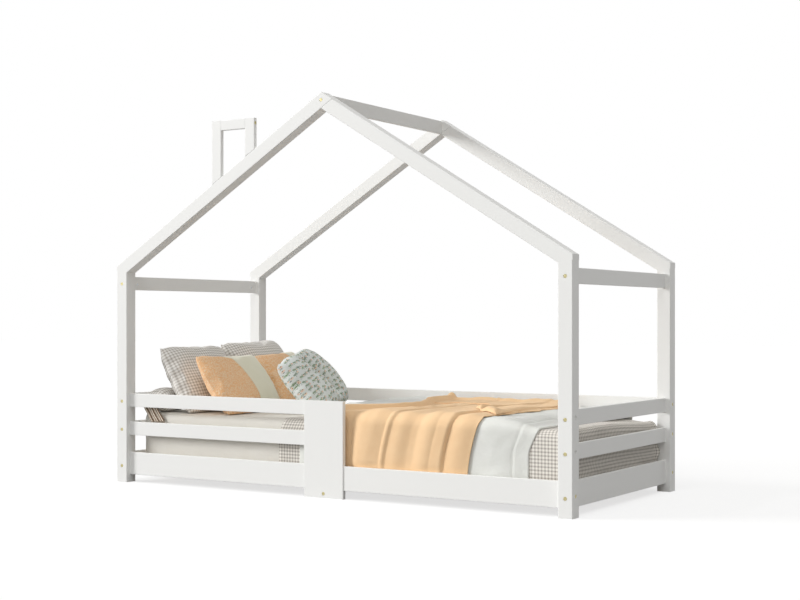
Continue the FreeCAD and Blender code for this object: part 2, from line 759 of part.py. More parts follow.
def pin_shape(diameter, long):
    """A dowel along Z with chamfered ends, its middle at the origin."""
    pin = Part.makeCylinder(diameter / 2, long, V(0, 0, -long / 2))
    return pin.makeChamfer(1.0, [edge for edge in pin.Edges if edge.Closed])


def screw_shape():
    """A countersunk screw along +Z, its head flush with the origin."""
    radius, head = number(size("screw_dia")) / 2, number(size("screw_head")) / 2
    long, cone = number(size("screw_long")), head - radius
    profile = [(0, 0), (head, 0), (radius, cone), (radius, long - 5), (0, long - 0.5), (0, 0)]
    return Part.Face(Part.makePolygon([V(x, 0, z) for x, z in profile])).revolve(V(0, 0, 0), Z, 360)


def group(name, shapes):
    item = doc.addObject("Part::Feature", name)
    item.Shape = Part.makeCompound(shapes)
    return finish(item, name)


def pierced_nut(spot, side, inward):
    """The barrel nut at its place, with the hole that its bolt turns into."""
    nut = turned_to(nut_shape(), spot, side)
    half = number(size("nut_dia"))
    centre = spot_of(spot)
    hole = Part.makeCylinder(number(size("bolt_dia")) / 2, half * 2, centre - inward * half, inward)
    return nut.cut(hole)


group("frame_bolts", [turned_to(bolt_shape(reach), start, way) for start, way, reach in bolts])
group("short_bolts", [turned_to(bolt_shape(reach), start, way) for start, way, reach in short_bolts])
ways = [way for start, way, reach in bolts] + [way for start, way, reach in short_bolts]
group("barrel_nuts", [pierced_nut(spot, side, way) for (spot, side), way in zip(nuts, ways)])
pin = pin_shape(number(size("dowel_dia")), number(size("dowel_long")) - 1)
group("dowels", [turned_to(pin, spot, way) for spot, way in dowels])
pin = pin_shape(number(size("frame_dowel_dia")), number(size("frame_dowel_long")) - 1)
group("frame_dowels", [turned_to(pin, spot, way) for spot, way in frame_dowels])
group("screws", [turned_to(screw_shape(), head, way) for head, way in screws])

# ---------------------------------------------------------------- mattress and bedding

WORDS = {word: float(sheet.get(word)) for word in SIZES}
GAP = WORDS["soft_gap"]
BOARD_TOP = number(LEVELS["board"][0] + LEVELS["board"][1])
CLOTH_LOW = BOARD_TOP - WORDS["cloth_tuck"]
BED_LOW = number(SLAT_TOP) + GAP
BED_TOP = BED_LOW + WORDS["mattress_tall"]
BED_FRONT = number(-BOARD_IN_Y) + WORDS["front_gap"]
BED_BACK = number(BOARD_IN_Y) - WORDS["back_gap"]
BED_HALF = (BED_BACK - BED_FRONT) / 2
BED_Y = (BED_BACK + BED_FRONT) / 2
BED_HEAD = number(-IN_X) + WORDS["head_gap"]
BED_FOOT = number(IN_X) - WORDS["foot_gap"]


def soft_piece(name, shape):
    item = doc.addObject("Part::Feature", name)
    item.Shape = shape
    return finish(item, name)


def rounded_block(x0, x1, half, low, high, radius):
    """A block across the bed with its upper edges rounded, both the long ones and those at the ends."""
    block = Part.makeBox(x1 - x0, half * 2, high - low, V(x0, BED_Y - half, low))
    edges = [edge for edge in block.Edges if all(abs(v.Z - high) < 1e-6 for v in edge.Vertexes)]
    return block.makeFillet(radius, edges)


def draped(x0, x1, under, thick_side, thick_top, radius):
    """A cloth over the bed between two places along it, hanging at both sides, clear of what is under it."""
    outside = rounded_block(x0 - 200, x1 + 200, BED_HALF + under + thick_side, CLOTH_LOW,
                            BED_TOP + under + thick_top, radius)
    inside = rounded_block(x0 - 300, x1 + 300, BED_HALF + under, CLOTH_LOW - 50,
                           BED_TOP + under, WORDS["mattress_round"])
    stretch = Part.makeBox(x1 - x0, number(OUT_Y) * 2, BED_TOP * 2, V(x0, -number(OUT_Y), 0))
    return outside.cut(inside).common(stretch).removeSplitter()


def mattress():
    corner = V(BED_HEAD, BED_FRONT, BED_LOW)
    block = Part.makeBox(BED_FOOT - BED_HEAD, BED_HALF * 2, WORDS["mattress_tall"], corner)
    upright = [edge for edge in block.Edges if abs(edge.tangentAt(edge.FirstParameter).z) > 0.9]
    block = block.makeFillet(WORDS["mattress_round"] * 1.6, upright)
    rims = [edge for edge in block.Edges if abs(edge.CenterOfMass.z - BED_TOP) < 1e-6]
    return soft_piece("mattress", block.makeFillet(WORDS["mattress_round"], rims))


def check_blanket():
    """It covers the foot half of the mattress and hangs at both sides and at the foot."""
    thick = WORDS["blanket_thick"]
    outer = rounded_block(BED_HEAD, BED_FOOT + GAP + thick, BED_HALF + GAP + thick, CLOTH_LOW,
                          BED_TOP + GAP + thick, WORDS["mattress_round"] + thick)
    inner = rounded_block(BED_HEAD - 50, BED_FOOT + GAP, BED_HALF + GAP, CLOTH_LOW - 50,
                          BED_TOP + GAP, WORDS["mattress_round"])
    head = BED_HEAD + WORDS["blanket_head"]
    stretch = Part.makeBox(BED_FOOT - head + 50, number(OUT_Y) * 2, BED_TOP * 2, V(head, -number(OUT_Y), 0))
    return soft_piece("check_blanket", outer.cut(inner).common(stretch).removeSplitter())


UNDER_DUVET = GAP * 2 + WORDS["blanket_thick"]
DUVET_OUT = UNDER_DUVET + WORDS["duvet_side"]
DUVET_TOP = BED_TOP + UNDER_DUVET + WORDS["duvet_thick"]


def duvet():
    """Thick on top and thin where it hangs."""
    return soft_piece("duvet", draped(BED_HEAD + WORDS["duvet_head"], BED_FOOT - WORDS["duvet_foot"],
                                      UNDER_DUVET, WORDS["duvet_side"], WORDS["duvet_thick"],
                                      WORDS["duvet_round"]))


def throw_section(x, out):
    """The throw's outline across the bed: over the duvet, off it by the fold, and in behind the board."""
    side = BED_HALF + DUVET_OUT + GAP
    top, low, thick = DUVET_TOP + GAP, CLOTH_LOW, WORDS["throw_thick"]
    bend = WORDS["duvet_round"]
    reach = bend / math.cos(math.radians(15))      # so that the flats between the corners clear the round
    turns = [math.radians(angle) for angle in (15, 45, 75)]
    inside = [(-side, low)]
    inside += [(-side + bend - reach * math.cos(turn), top - bend + reach * math.sin(turn)) for turn in turns]
    inside += [(side - bend * 1.2, top)]
    outside = [(side - bend * 1.2, top + thick), (side * 0.55, top + thick + out * 1.2),
               (0, top + thick + out * 0.7), (-side + bend, top + thick + out),
               (-side + bend * 0.4, top + thick - bend * 0.05 + out * 0.7),
               (-side - thick, top - bend * 0.7), (-side - thick - out, top - bend * 1.6),
               (-side - thick - out * 0.8, BOARD_TOP + 25), (-side - thick, BOARD_TOP + 2),
               (-side - thick, low)]
    points = [V(x, BED_Y + y, z) for y, z in inside + outside]
    return Part.makePolygon(points + points[:1])


def throw():
    """A throw across the middle of the duvet, with its main folds. It hangs only at the front."""
    scale = WORDS["throw_wide"] / THROW_FOLDS[-1][0]
    left = WORDS["throw_left"]
    wires = [throw_section(left + step * scale, out) for step, out in THROW_FOLDS]
    return soft_piece("throw", Part.makeLoft(wires, True, True))


def striped_cloth():
    """A small folded cloth over the mattress's front edge near the head, behind the fence."""
    thick = WORDS["small_cloth_thick"]
    corner = V(BED_HEAD + WORDS["small_cloth_head"], BED_FRONT - GAP - thick,
               BED_TOP + WORDS["small_cloth_rise"] - WORDS["small_cloth_tall"])
    block = Part.makeBox(WORDS["small_cloth_wide"], thick, WORDS["small_cloth_tall"], corner)
    return soft_piece("striped_cloth", block.makeFillet(thick * 0.4, block.Edges))


def cushion_outline(wide, tall, share, sag, high):
    """Four arcs between four corners. A negative sag draws the sides in."""
    a, b = wide / 2 * share, tall / 2 * share
    corners = [V(-a, -b, high), V(a, -b, high), V(a, b, high), V(-a, b, high)]
    edges = []
    for one, two in zip(corners, corners[1:] + corners[:1]):
        middle_point = (one + two) * 0.5
        out = V(middle_point.x, middle_point.y, 0).normalize()
        edges.append(Part.Arc(one, middle_point + out * (sag * (one - two).Length), two).toShape())
    return Part.Wire(edges)


def cushion_shape(wide, tall, thick):
    """A filled cushion lying flat: a seam with drawn-in sides, and a crown above and below."""
    steps = ((1.0, -0.045, 0.0), (0.965, -0.02, 0.15), (0.86, 0.02, 0.32), (0.62, 0.05, 0.45),
             (0.3, 0.08, 0.5))
    halves = []
    for sign in (-1, 1):
        wires = [cushion_outline(wide, tall, share, sag, thick * high * sign) for share, sag, high in steps]
        halves.append(Part.makeLoft(wires, True, True))
    return halves[0].fuse(halves[1]).removeSplitter()


ACROSS = {"front": BED_FRONT, "middle": BED_Y, "back": BED_BACK}
GROUNDS = {"mattress": BED_TOP, "blanket": BED_TOP + GAP + WORDS["blanket_thick"]}


def place_cushion(name, near, far, tall, thick, from_head, lean, roll, ground):
    """Rolls a cushion, leans it back towards the head and lets it down on what it lies on."""
    y0, y1 = (ACROSS[edge] + step for edge, step in (near, far))
    shape = cushion_shape(tall, y1 - y0, thick)
    shape.rotate(V(0, 0, 0), Z, roll)
    shape.rotate(V(0, 0, 0), Y, lean)
    low = shape.optimalBoundingBox(False).ZMin
    shape.translate(V(BED_HEAD + from_head, (y0 + y1) / 2, GROUNDS[ground] + GAP - low))
    return soft_piece(name, shape)


mattress()
check_blanket()
duvet()
throw()
striped_cloth()
for name, row in CUSHIONS.items():
    place_cushion(name, *row)

# ---------------------------------------------------------------- check every piece, then write it

doc.recompute()
for item in doc.Objects:
    if "Invalid" in item.State or "Error" in item.State:
        raise RuntimeError(f"{item.Label} failed: {item.State}")
GROUPS = {"frame_bolts": bolts, "short_bolts": short_bolts, "barrel_nuts": nuts, "dowels": dowels,
          "frame_dowels": frame_dowels, "screws": screws}
for name, item in finished.items():
    shape = item.Shape
    if shape.isNull() or not shape.isValid():
        raise RuntimeError(f"{name} has no valid shape")
    if len(shape.Solids) != len(GROUPS.get(name, [name])):
        raise RuntimeError(f"{name} has {len(shape.Solids)} solids")
for name, item in finished.items():
    item.Shape.exportStep(f"parts/{name}.step")
    print(f"{name:24s} {item.Shape.Volume / 1000:10.1f} cm3")
print(len(finished), "nodes; apex at", round(APEX.value, 1))
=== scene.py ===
# %% [markdown]
# # A child's house bed
# The bed is a low slatted base inside a frame of square pine, shaped like a small house and painted satin
# white. A mattress lies on it with a fitted sheet, a checked blanket, a duvet, a peach throw and cushions.
# The timber, bolts and dowels come from the CAD model and only need finishes. The soft things are made
# here, because cloth needs folds, seams and fullness that a CAD solid doesn't have.

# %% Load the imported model
import bpy
import json
import math
from mathutils import Matrix, Vector, noise


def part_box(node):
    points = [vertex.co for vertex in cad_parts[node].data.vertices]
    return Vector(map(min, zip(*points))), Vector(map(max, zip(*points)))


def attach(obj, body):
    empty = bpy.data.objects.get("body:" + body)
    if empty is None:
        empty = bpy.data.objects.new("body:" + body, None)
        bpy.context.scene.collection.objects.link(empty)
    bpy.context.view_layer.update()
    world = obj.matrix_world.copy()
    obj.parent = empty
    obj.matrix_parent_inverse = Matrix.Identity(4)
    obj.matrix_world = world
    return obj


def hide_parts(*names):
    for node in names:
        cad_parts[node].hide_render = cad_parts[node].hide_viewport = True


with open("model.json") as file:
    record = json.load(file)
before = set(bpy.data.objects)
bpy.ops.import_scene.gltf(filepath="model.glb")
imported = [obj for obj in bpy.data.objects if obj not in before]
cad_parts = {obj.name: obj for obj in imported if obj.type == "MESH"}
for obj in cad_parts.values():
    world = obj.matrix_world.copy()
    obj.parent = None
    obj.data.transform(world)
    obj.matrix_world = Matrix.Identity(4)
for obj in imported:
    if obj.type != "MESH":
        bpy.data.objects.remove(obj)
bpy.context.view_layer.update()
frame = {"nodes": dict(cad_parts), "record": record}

bpy.ops.object.select_all(action="DESELECT")

# %% [markdown]
# ## The camera
# The bed is seen from its foot end, a little above the mattress, with upright posts that stay parallel.
# A camera held level keeps them so. The picture is cut from a wider one, which a small shift stands for.

# %% The camera at the photograph's place
MM = 0.001
PICTURE = (800, 600)
FOCAL_PIXELS = 1428.86
CENTRE_PIXEL = (350.96, 318.72)  # where the level line of sight meets the picture
TURN = 33.26  # degrees that the camera looks to the left of the bed's depth
EYE = (3.0795, -4.974, 0.6844)  # where the camera stands, in metres
FILM = 36  # width of the camera's film, in millimetres
QUARTER = math.radians(90)

bpy.ops.object.camera_add(location=EYE, rotation=(QUARTER, 0, math.radians(TURN)))
camera = bpy.context.object
camera.name = camera.data.name = "camera"
camera.data.sensor_width = FILM
camera.data.lens = FOCAL_PIXELS / PICTURE[0] * FILM
camera.data.shift_x = (PICTURE[0] / 2 - CENTRE_PIXEL[0]) / PICTURE[0]
camera.data.shift_y = (CENTRE_PIXEL[1] - PICTURE[1] / 2) / PICTURE[0]
bpy.context.scene.camera = camera
print("lens", round(camera.data.lens, 1), "mm")

# %% [markdown]
# ## Nodes and colours
# Colours are written as they look on a screen, and Blender's shaders work in linear light, so one function
# turns them. Another small function adds a node with its settings and its links.

# %% A colour and a node


def linear(code):
    """The linear colour of an sRGB hex value."""
    parts = [int(code[i:i + 2], 16) / 255 for i in (1, 3, 5)]
    return tuple(c / 12.92 if c <= 0.04045 else ((c + 0.055) / 1.055) ** 2.4 for c in parts) + (1.0,)


def add(tree, kind, inputs=None, **settings):
    """Adds a shader node. An input is a number, a colour or another node's output."""
    node = tree.nodes.new("ShaderNode" + kind)
    for name, value in settings.items():
        setattr(node, name, value)
    for socket, value in (inputs or {}).items():
        if isinstance(value, bpy.types.NodeSocket):
            tree.links.new(value, node.inputs[socket])
        else:
            node.inputs[socket].default_value = value
    return node


def finish(name, roughness, metallic=0.0, sheen=0.0):
    """A material with its constants on the shader's own sockets. Colour and bump are linked to it later."""
    material = bpy.data.materials.new(name)
    material.use_nodes = True
    tree = material.node_tree
    shader = tree.nodes["Principled BSDF"]
    shader.inputs["Roughness"].default_value = roughness
    shader.inputs["Metallic"].default_value = metallic
    shader.inputs["Sheen Weight"].default_value = sheen
    return material, tree, shader


def two_tone(tree, share, one, two):
    """Goes from one colour to another, each a hex value or a node's output, as share goes from 0 to 1."""
    one, two = (linear(colour) if isinstance(colour, str) else colour for colour in (one, two))
    return add(tree, "Mix", {"Factor": share, 6: one, 7: two}, data_type="RGBA").outputs[2]


def raise_bumps(tree, shader, height, depth, before=None):
    """Lets a height, from 0 to 1, stand out by depth in metres, on top of the bumps made before."""
    bump = add(tree, "Bump", {"Height": height, "Distance": depth, "Strength": 1.0})
    if before is not None:
        tree.links.new(before, bump.inputs["Normal"])
    tree.links.new(bump.outputs["Normal"], shader.inputs["Normal"])
    return bump.outputs["Normal"]


# %% [markdown]
# ## Satin paint on pine
# The frame is planed pine with two coats of water-based satin paint. The paint fills the wood but its
# grain still shows as very shallow lines, and the roller leaves a fine stipple. So the colour stays even
# and the detail is in the bump. The lines must run along each piece, so the pattern is turned to its grain.

# %% The paint, once for each direction of the grain
PITCH = math.radians(31.7)  # of the roof
GRAIN_LINE = 5 * MM  # width of the grain lines that show through
STIPPLE = 1.6 * MM  # size of the roller's stipple, drawn a little coarse so that it shows
CLOUD = 1 / 12  # size of the faint cloudy spots in its tone, in metres


def satin_paint(name, turn):
    """Satin paint over wood whose grain runs along X after this turn."""
    material, tree, shader = finish(name, roughness=0.42)
    place = add(tree, "TexCoord").outputs["Object"]
    along = add(tree, "Mapping", {"Vector": place, "Rotation": turn}).outputs["Vector"]
    stretched = add(tree, "Mapping", {"Vector": along, "Scale": (0.05, 1, 1)}).outputs["Vector"]
    lines = add(tree, "TexNoise", {"Vector": stretched, "Scale": 1 / GRAIN_LINE, "Detail": 3.0})
    stipple = add(tree, "TexNoise", {"Vector": place, "Scale": 1 / STIPPLE, "Detail": 1.0})
    cloudy = add(tree, "TexNoise", {"Vector": stretched, "Scale": 1 / CLOUD, "Detail": 2.0})
    colour = two_tone(tree, cloudy.outputs["Fac"], "#F2F2F0", "#EEEEEC")
    tree.links.new(colour, shader.inputs["Base Color"])
    grain = raise_bumps(tree, shader, lines.outputs["Fac"], 0.06 * MM)
    raise_bumps(tree, shader, stipple.outputs["Fac"], 0.008 * MM, grain)
    return material


PAINT = {
    "X": satin_paint("satin paint, grain along the bed", (0, 0, 0)),
    "Y": satin_paint("satin paint, grain across the bed", (0, 0, -QUARTER)),
    "Z": satin_paint("satin paint, grain upright", (0, QUARTER, 0)),
    "left slope": satin_paint("satin paint, grain up the left slope", (0, PITCH, 0)),
    "right slope": satin_paint("satin paint, grain up the right slope", (0, -PITCH, 0)),
}
print(len(PAINT), "directions of painted grain")

# %% [markdown]
# ## Bare pine
# The slats and dowels are planed pine without paint. Pine is pale, with soft early wood between thin darker
# lines of late wood, which wander and close round knots. Rings come from bands that noise distorts.

# %% Planed pine
RING = 9 * MM  # spacing of the growth rings on a flat-sawn face
FIBRE = MM / 0.7  # width of the fibre streaks, drawn coarse

PINE, tree, shader = finish("planed pine", roughness=0.6)
place = add(tree, "TexCoord").outputs["Object"]
stretched = add(tree, "Mapping", {"Vector": place, "Scale": (1, 0.12, 1)}).outputs["Vector"]
wander = add(tree, "TexNoise", {"Vector": stretched, "Scale": 14.0, "Detail": 2.0})
bent = add(tree, "Mix", {"Factor": 0.04, 4: stretched, 5: wander.outputs["Color"]}, data_type="VECTOR")
rings = add(tree, "TexWave", {"Vector": bent.outputs[1], "Scale": 1 / (RING * 6.3), "Distortion": 2.0,
                              "Detail": 2.0, "Detail Scale": 3.0})
fibre = add(tree, "TexNoise", {"Vector": stretched, "Scale": 1 / FIBRE, "Detail": 2.0})
streaks = add(tree, "Math", {0: fibre.outputs["Fac"], 1: 0.35}, operation="MULTIPLY").outputs[0]
wood = two_tone(tree, rings.outputs["Fac"], "#E6CBA0", "#CDA26A")
tree.links.new(two_tone(tree, streaks, wood, "#B88A55"), shader.inputs["Base Color"])
raise_bumps(tree, shader, fibre.outputs["Fac"], 0.1 * MM)
print("pine with rings every", round(RING / MM), "mm")

# %% [markdown]
# ## Zinc plating
# The bolt heads are steel with yellow zinc, whose thin film shifts from gold to a faint green and rose. The
# nuts and screws have bright zinc. Both are metals with fine scratches, so noise varies colour and bump.

# %% Yellow and bright zinc
FILM_SPOT = 6 * MM  # size of the spots in the film's tint
SCRATCH = 0.8 * MM  # spacing of the scratches, drawn coarse


def zinc(name, pale, deep, roughness):
    material, tree, shader = finish(name, roughness=roughness, metallic=1.0)
    place = add(tree, "TexCoord").outputs["Object"]
    film = add(tree, "TexNoise", {"Vector": place, "Scale": 1 / FILM_SPOT, "Detail": 2.0})
    tree.links.new(two_tone(tree, film.outputs["Fac"], pale, deep), shader.inputs["Base Color"])
    scratch = add(tree, "TexNoise", {"Vector": place, "Scale": 1 / SCRATCH, "Detail": 2.0})
    raise_bumps(tree, shader, scratch.outputs["Fac"], 0.03 * MM)
    return material


YELLOW_ZINC = zinc("yellow zinc plating", "#CFC69E", "#B5AA7C", 0.34)
BRIGHT_ZINC = zinc("bright zinc plating", "#D2D5D8", "#B9BDC2", 0.28)

# %% [markdown]
# ## Dressing the timber
# Each CAD node keeps its shape and gets the finish of its slot in the record. A painted piece gets the
# paint whose grain runs along it.

# %% Which way the grain runs, and the finishes
UPRIGHT = ("post_", "fence_panel", "chimney_upright")
ACROSS = ("end_", "eave_", "ridge_")


def grain_of(node):
    if node.startswith("rafter_"):
        return "left slope" if node.endswith("left") else "right slope"
    if node.startswith(UPRIGHT):
        return "Z"
    return "Y" if node.startswith(ACROSS) else "X"


HARD_FINISH = {"bare_pine": PINE, "yellow_zinc": YELLOW_ZINC, "zinc": BRIGHT_ZINC}
dressed = 0
for part in frame["record"]["subparts"]:
    node = frame["nodes"][part["node"]]
    material = HARD_FINISH.get(part["material_slot"])
    if part["material_slot"] == "white_paint":
        material = PAINT[grain_of(part["node"])]
    if material is None:
        continue  # a soft piece, which is replaced below
    for place in node.material_slots:
        place.material = material
    dressed += 1
print(dressed, "CAD nodes dressed")

# %% [markdown]
# ## Cloth
# Every cloth here starts flat, at its real size, as on a cutting table. Its UV map is that flat place in
# metres, so a check or a weave stays true to size wherever the cloth goes. These helpers make the flat
# cloth, give soft steps and ridges, and let a point of flat cloth fall over the edge of the bed.

# %% Soft steps, ridges and ripples


def rise(x, start, end):
    """0 before start, 1 after end, and a soft slope between."""
    t = min(max((x - start) / (end - start), 0.0), 1.0)
    return t * t * (3 - 2 * t)


def ridge(x, middle, half):
    """1 at the middle and 0 from half away, like a soft fold."""
    t = (x - middle) / half
    return (1 - t * t) ** 2 if abs(t) < 1 else 0.0


def ripple(a, b, c, size, seed):
    """Unevenness between -1 and 1 whose humps are about size wide. The seed picks another pattern."""
    return noise.noise(Vector((a / size + seed * 7.31, b / size - seed * 3.17, c / size + seed * 1.7))) * 1.6


# %% A flat cloth and how it is moved into place


def steps(*stops):
    """Grid lines over runs of cloth: a start, then pairs of an end and the number of cells up to it."""
    lines = [stops[0]]
    for end, cells in zip(stops[1::2], stops[2::2]):
        start = lines[-1]
        lines += [start + (end - start) * (k + 1) / cells for k in range(cells)]
    return lines


def flat_cloth(name, us, vs):
    """A flat sheet with its grid lines at us along the bed and vs across it."""
    bpy.ops.mesh.primitive_grid_add(x_subdivisions=len(us) - 1, y_subdivisions=len(vs) - 1, size=2)
    cloth = bpy.context.object
    cloth.name = cloth.data.name = name
    for vertex in cloth.data.vertices:
        i = round((vertex.co.x + 1) / 2 * (len(us) - 1))
        j = round((vertex.co.y + 1) / 2 * (len(vs) - 1))
        vertex.co = (us[i], vs[j], 0)
    flat_map = cloth.data.uv_layers[0].data
    for loop in cloth.data.loops:
        flat_map[loop.index].uv = cloth.data.vertices[loop.vertex_index].co.xy
    return cloth


def lay(cloth, place):
    """Moves each vertex from its flat place to where place(u, v) says, and gives back the flat places."""
    flat = [vertex.co.copy() for vertex in cloth.data.vertices]
    for vertex, spot in zip(cloth.data.vertices, flat):
        vertex.co = place(spot)
    cloth.data.update()
    return flat


def push(cloth, flat, amount):
    """Moves each vertex along its own normal by amount(flat place, place)."""
    normals = [vertex.normal.copy() for vertex in cloth.data.vertices]
    for vertex, spot, normal in zip(cloth.data.vertices, flat, normals):
        vertex.co += normal * amount(spot, vertex.co)
    cloth.data.update()


def apply_modifier(piece, kind, **settings):
    modifier = piece.modifiers.new(kind.lower(), kind)
    for name, value in settings.items():
        setattr(modifier, name, value)
    bpy.context.view_layer.objects.active = piece
    bpy.ops.object.modifier_apply(modifier=modifier.name)


def in_edit_mode(piece, *actions):
    """Runs mesh operators on the whole piece."""
    bpy.ops.object.select_all(action="DESELECT")
    piece.select_set(True)
    bpy.context.view_layer.objects.active = piece
    bpy.ops.object.mode_set(mode="EDIT")
    bpy.ops.mesh.select_all(action="SELECT")
    for action in actions:
        action()
    bpy.ops.object.mode_set(mode="OBJECT")


def extent(piece):
    """Its lowest and highest corner."""
    return [Vector([pick(v.co[k] for v in piece.data.vertices) for k in range(3)]) for pick in (min, max)]


def hand_in(piece, material, slot, *nodes):
    """Gives a finished piece its material and its body, and hides the CAD nodes it stands for. Its slot is
    not used.
    """
    piece.data.materials.clear()
    piece.data.materials.append(material)
    for face in piece.data.polygons:
        face.use_smooth = True
    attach(piece, "root")
    if nodes:
        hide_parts(*nodes)
    low, high = ([round(c / MM) for c in corner] for corner in extent(piece))
    print(f"{piece.name}: {len(piece.data.polygons)} faces, from {low} to {high} mm")


# %% The box that a cloth folds down over


def fallen(u, v, box, rim, corner):
    """Where a point of flat cloth lies once it hangs down over a box with rounded edges.

    box is (x0, x1, y0, y1, top), rim the radius of the upper edges and corner that of the upright ones.
    """
    x0, x1, y0, y1, top = box
    x, y = min(max(u, x0), x1), min(max(v, y0), y1)
    down = abs(u - x) + abs(v - y)
    cx, cy = min(max(x, x0 + corner), x1 - corner), min(max(y, y0 + corner), y1 - corner)
    dx, dy = x - cx, y - cy
    reach = math.hypot(dx, dy)
    if reach < 1e-9:
        return Vector((x, y, top - down))
    inset = corner - min(reach, corner)
    if inset < rim and down < rim:
        far = math.hypot(rim - inset, rim - down)
        inset, down = rim - rim * (rim - inset) / far, rim - rim * (rim - down) / far
    out = (corner - inset) / reach
    return Vector((cx + dx * out, cy + dy * out, top - down))


# %% [markdown]
# ## Finishes of cloth
# A fitted sheet and a duvet cover are plain weave. The threads are far finer than the picture shows, so
# they are drawn coarser. Dyed cloth also varies a little in tone, and a nap catches light at its edge, which
# the shader's sheen gives.

# %% Weave and creases
THREAD = 1.4 * MM  # a real thread is a fifth of this


def flat_axes(tree):
    """The two coordinates of the flat map, in metres."""
    return add(tree, "SeparateXYZ", {"Vector": add(tree, "TexCoord").outputs["UV"]}).outputs[:2]


def weave(tree, shader, depth, before=None):
    """Plain weave on the flat map: threads of one width that pass over and under each other."""
    waves = []
    for axis in flat_axes(tree):
        turn = add(tree, "Math", {0: axis, 1: math.pi / THREAD}, operation="MULTIPLY")
        waves.append(add(tree, "Math", {0: turn.outputs[0]}, operation="SINE").outputs[0])
    over = add(tree, "Math", {0: waves[0], 1: waves[1]}, operation="MULTIPLY")
    height = add(tree, "MapRange", {"Value": over.outputs[0], 1: -1.0, 2: 1.0})
    return raise_bumps(tree, shader, height.outputs[0], depth, before)


def uneven(tree, size, detail=2.0):
    """Noise on the flat map whose spots are about size wide."""
    flat = add(tree, "TexCoord").outputs["UV"]
    return add(tree, "TexNoise", {"Vector": flat, "Scale": 1 / size, "Detail": detail}).outputs["Fac"]


def woven(tree, shader, colour, crease, depth):
    """Gives cotton its colour, creases of this size and depth, and its weave."""
    tree.links.new(colour, shader.inputs["Base Color"])
    weave(tree, shader, 0.12 * MM, raise_bumps(tree, shader, uneven(tree, crease, 3.0), depth))


def plain_cotton(name, one, two, sheen=0.15):
    material, tree, shader = finish(name, roughness=0.92, sheen=sheen)
    woven(tree, shader, two_tone(tree, uneven(tree, 60 * MM), one, two), 22 * MM, 1.2 * MM)
    return material


SHEET_COTTON = plain_cotton("plain woven cotton sheet", "#E9E6DF", "#E3DFD6")
DUVET_COTTON = plain_cotton("washed cotton duvet cover", "#E6E7E3", "#DFE0DA", sheen=0.2)

# %% Gingham: one dyed stripe in each direction, darker where they cross
CHECK = 13 * MM  # one white and one grey stripe


def stripes(tree, coordinate, period, share, soft=0.12):
    """1 on the dyed share of each period, with edges as soft as thread."""
    fold = add(tree, "Math", {0: coordinate, 1: period / 2}, operation="PINGPONG")
    place = add(tree, "MapRange", {"Value": fold.outputs[0], 1: 0.0, 2: period / 2}).outputs[0]
    return add(tree, "MapRange", {"Value": place, 1: share + soft, 2: share - soft},
               interpolation_type="SMOOTHSTEP").outputs[0]


def gingham(name, white, faded, grey):
    material, tree, shader = finish(name, roughness=0.9, sheen=0.1)
    across, along = (stripes(tree, axis, CHECK, 0.44, 0.2) for axis in flat_axes(tree))
    dye = add(tree, "Math", {0: across, 1: along}, operation="ADD")
    half = add(tree, "Math", {0: dye.outputs[0], 1: 0.5}, operation="MULTIPLY")
    ground = two_tone(tree, uneven(tree, 40 * MM), white, faded)
    woven(tree, shader, two_tone(tree, half.outputs[0], ground, grey), 18 * MM, 0.8 * MM)
    return material


GINGHAM = gingham("yarn-dyed gingham", "#F2EEE7", "#EAE5DD", "#A49D95")
# The pillowcases are the same gingham painted lighter all over: painted light for the brighter light on the
# leaning pillows.
PILLOW_GINGHAM_PAINTED_LIGHTER = gingham("yarn-dyed gingham, painted lighter for the pillows", "#F8F6F2", "#F2EFEA", "#B4AEA6")

# %% [markdown]
# ## The mattress in its fitted sheet
# A fitted sheet is a flat cloth with a square cut out of each corner. Its four flaps fold down and the cut
# edges are sewn together. The same steps make it here: cut, fold, sew by merging the doubled points, and
# close it underneath. The foam rounds the edges, and elastic pulls small tucks near the lower corners.

# %% The mattress
MATTRESS_LOW, MATTRESS_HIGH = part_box("mattress")
TOP = MATTRESS_HIGH.z
GAP = 0.3 * MM  # left between two soft pieces that touch
SAG = 20 * MM  # how far the foam sinks at its lowest corner
MATTRESS_BOX = (MATTRESS_LOW.x, MATTRESS_HIGH.x, MATTRESS_LOW.y, MATTRESS_HIGH.y, TOP)
FOAM_RIM, FOAM_CORNER = 25 * MM, 40 * MM  # radii of the foam's upper edges and of its upright ones


def cover(name, box, drop, cell, flaps):
    """A flat cloth over a box, with flaps on the named sides, its corners cut out."""
    x0, x1, y0, y1 = box[:4]
    down = round(drop / cell)
    us, vs = [x0], [y0 - drop, y0, down]
    if "head" in flaps:
        us = [x0 - drop, x0, down]
    us += [x1, round((x1 - x0) / cell)]
    if "foot" in flaps:
        us += [x1 + drop, down]
    vs += [y1, round((y1 - y0) / cell), y1 + drop, down]
    cloth = flat_cloth(name, steps(*us), steps(*vs))
    for part in (*cloth.data.vertices, *cloth.data.edges):
        part.select = False
    for face in cloth.data.polygons:
        face.select = not (x0 < face.center.x < x1 or y0 < face.center.y < y1)
        if face.select:
            for k in face.vertices:
                cloth.data.vertices[k].select = True
    bpy.ops.object.mode_set(mode="EDIT")
    bpy.ops.mesh.select_mode(type="FACE")
    bpy.ops.mesh.delete(type="FACE")
    bpy.ops.object.mode_set(mode="OBJECT")
    return cloth


def sew(cloth):
    """Merges the cut edges of the corners, which lie on each other once the flaps are down."""
    in_edit_mode(cloth, lambda: bpy.ops.mesh.remove_doubles(threshold=1.5 * MM))


def settled(place):
    """The foam sinks a little at the corner by the back foot post, and what lies on it goes down too."""
    sag = SAG * rise(place.x, 0.72, 0.98) * rise(place.y, -0.05, 0.43)
    place.z -= sag * (place.z - MATTRESS_LOW.z) / (TOP - MATTRESS_LOW.z)
    return place


mattress = cover("mattress_in_sheet", MATTRESS_BOX, TOP - MATTRESS_LOW.z, 12 * MM, ("head", "foot"))
flat = lay(mattress, lambda p: settled(fallen(p.x, p.y, MATTRESS_BOX, FOAM_RIM, FOAM_CORNER)))


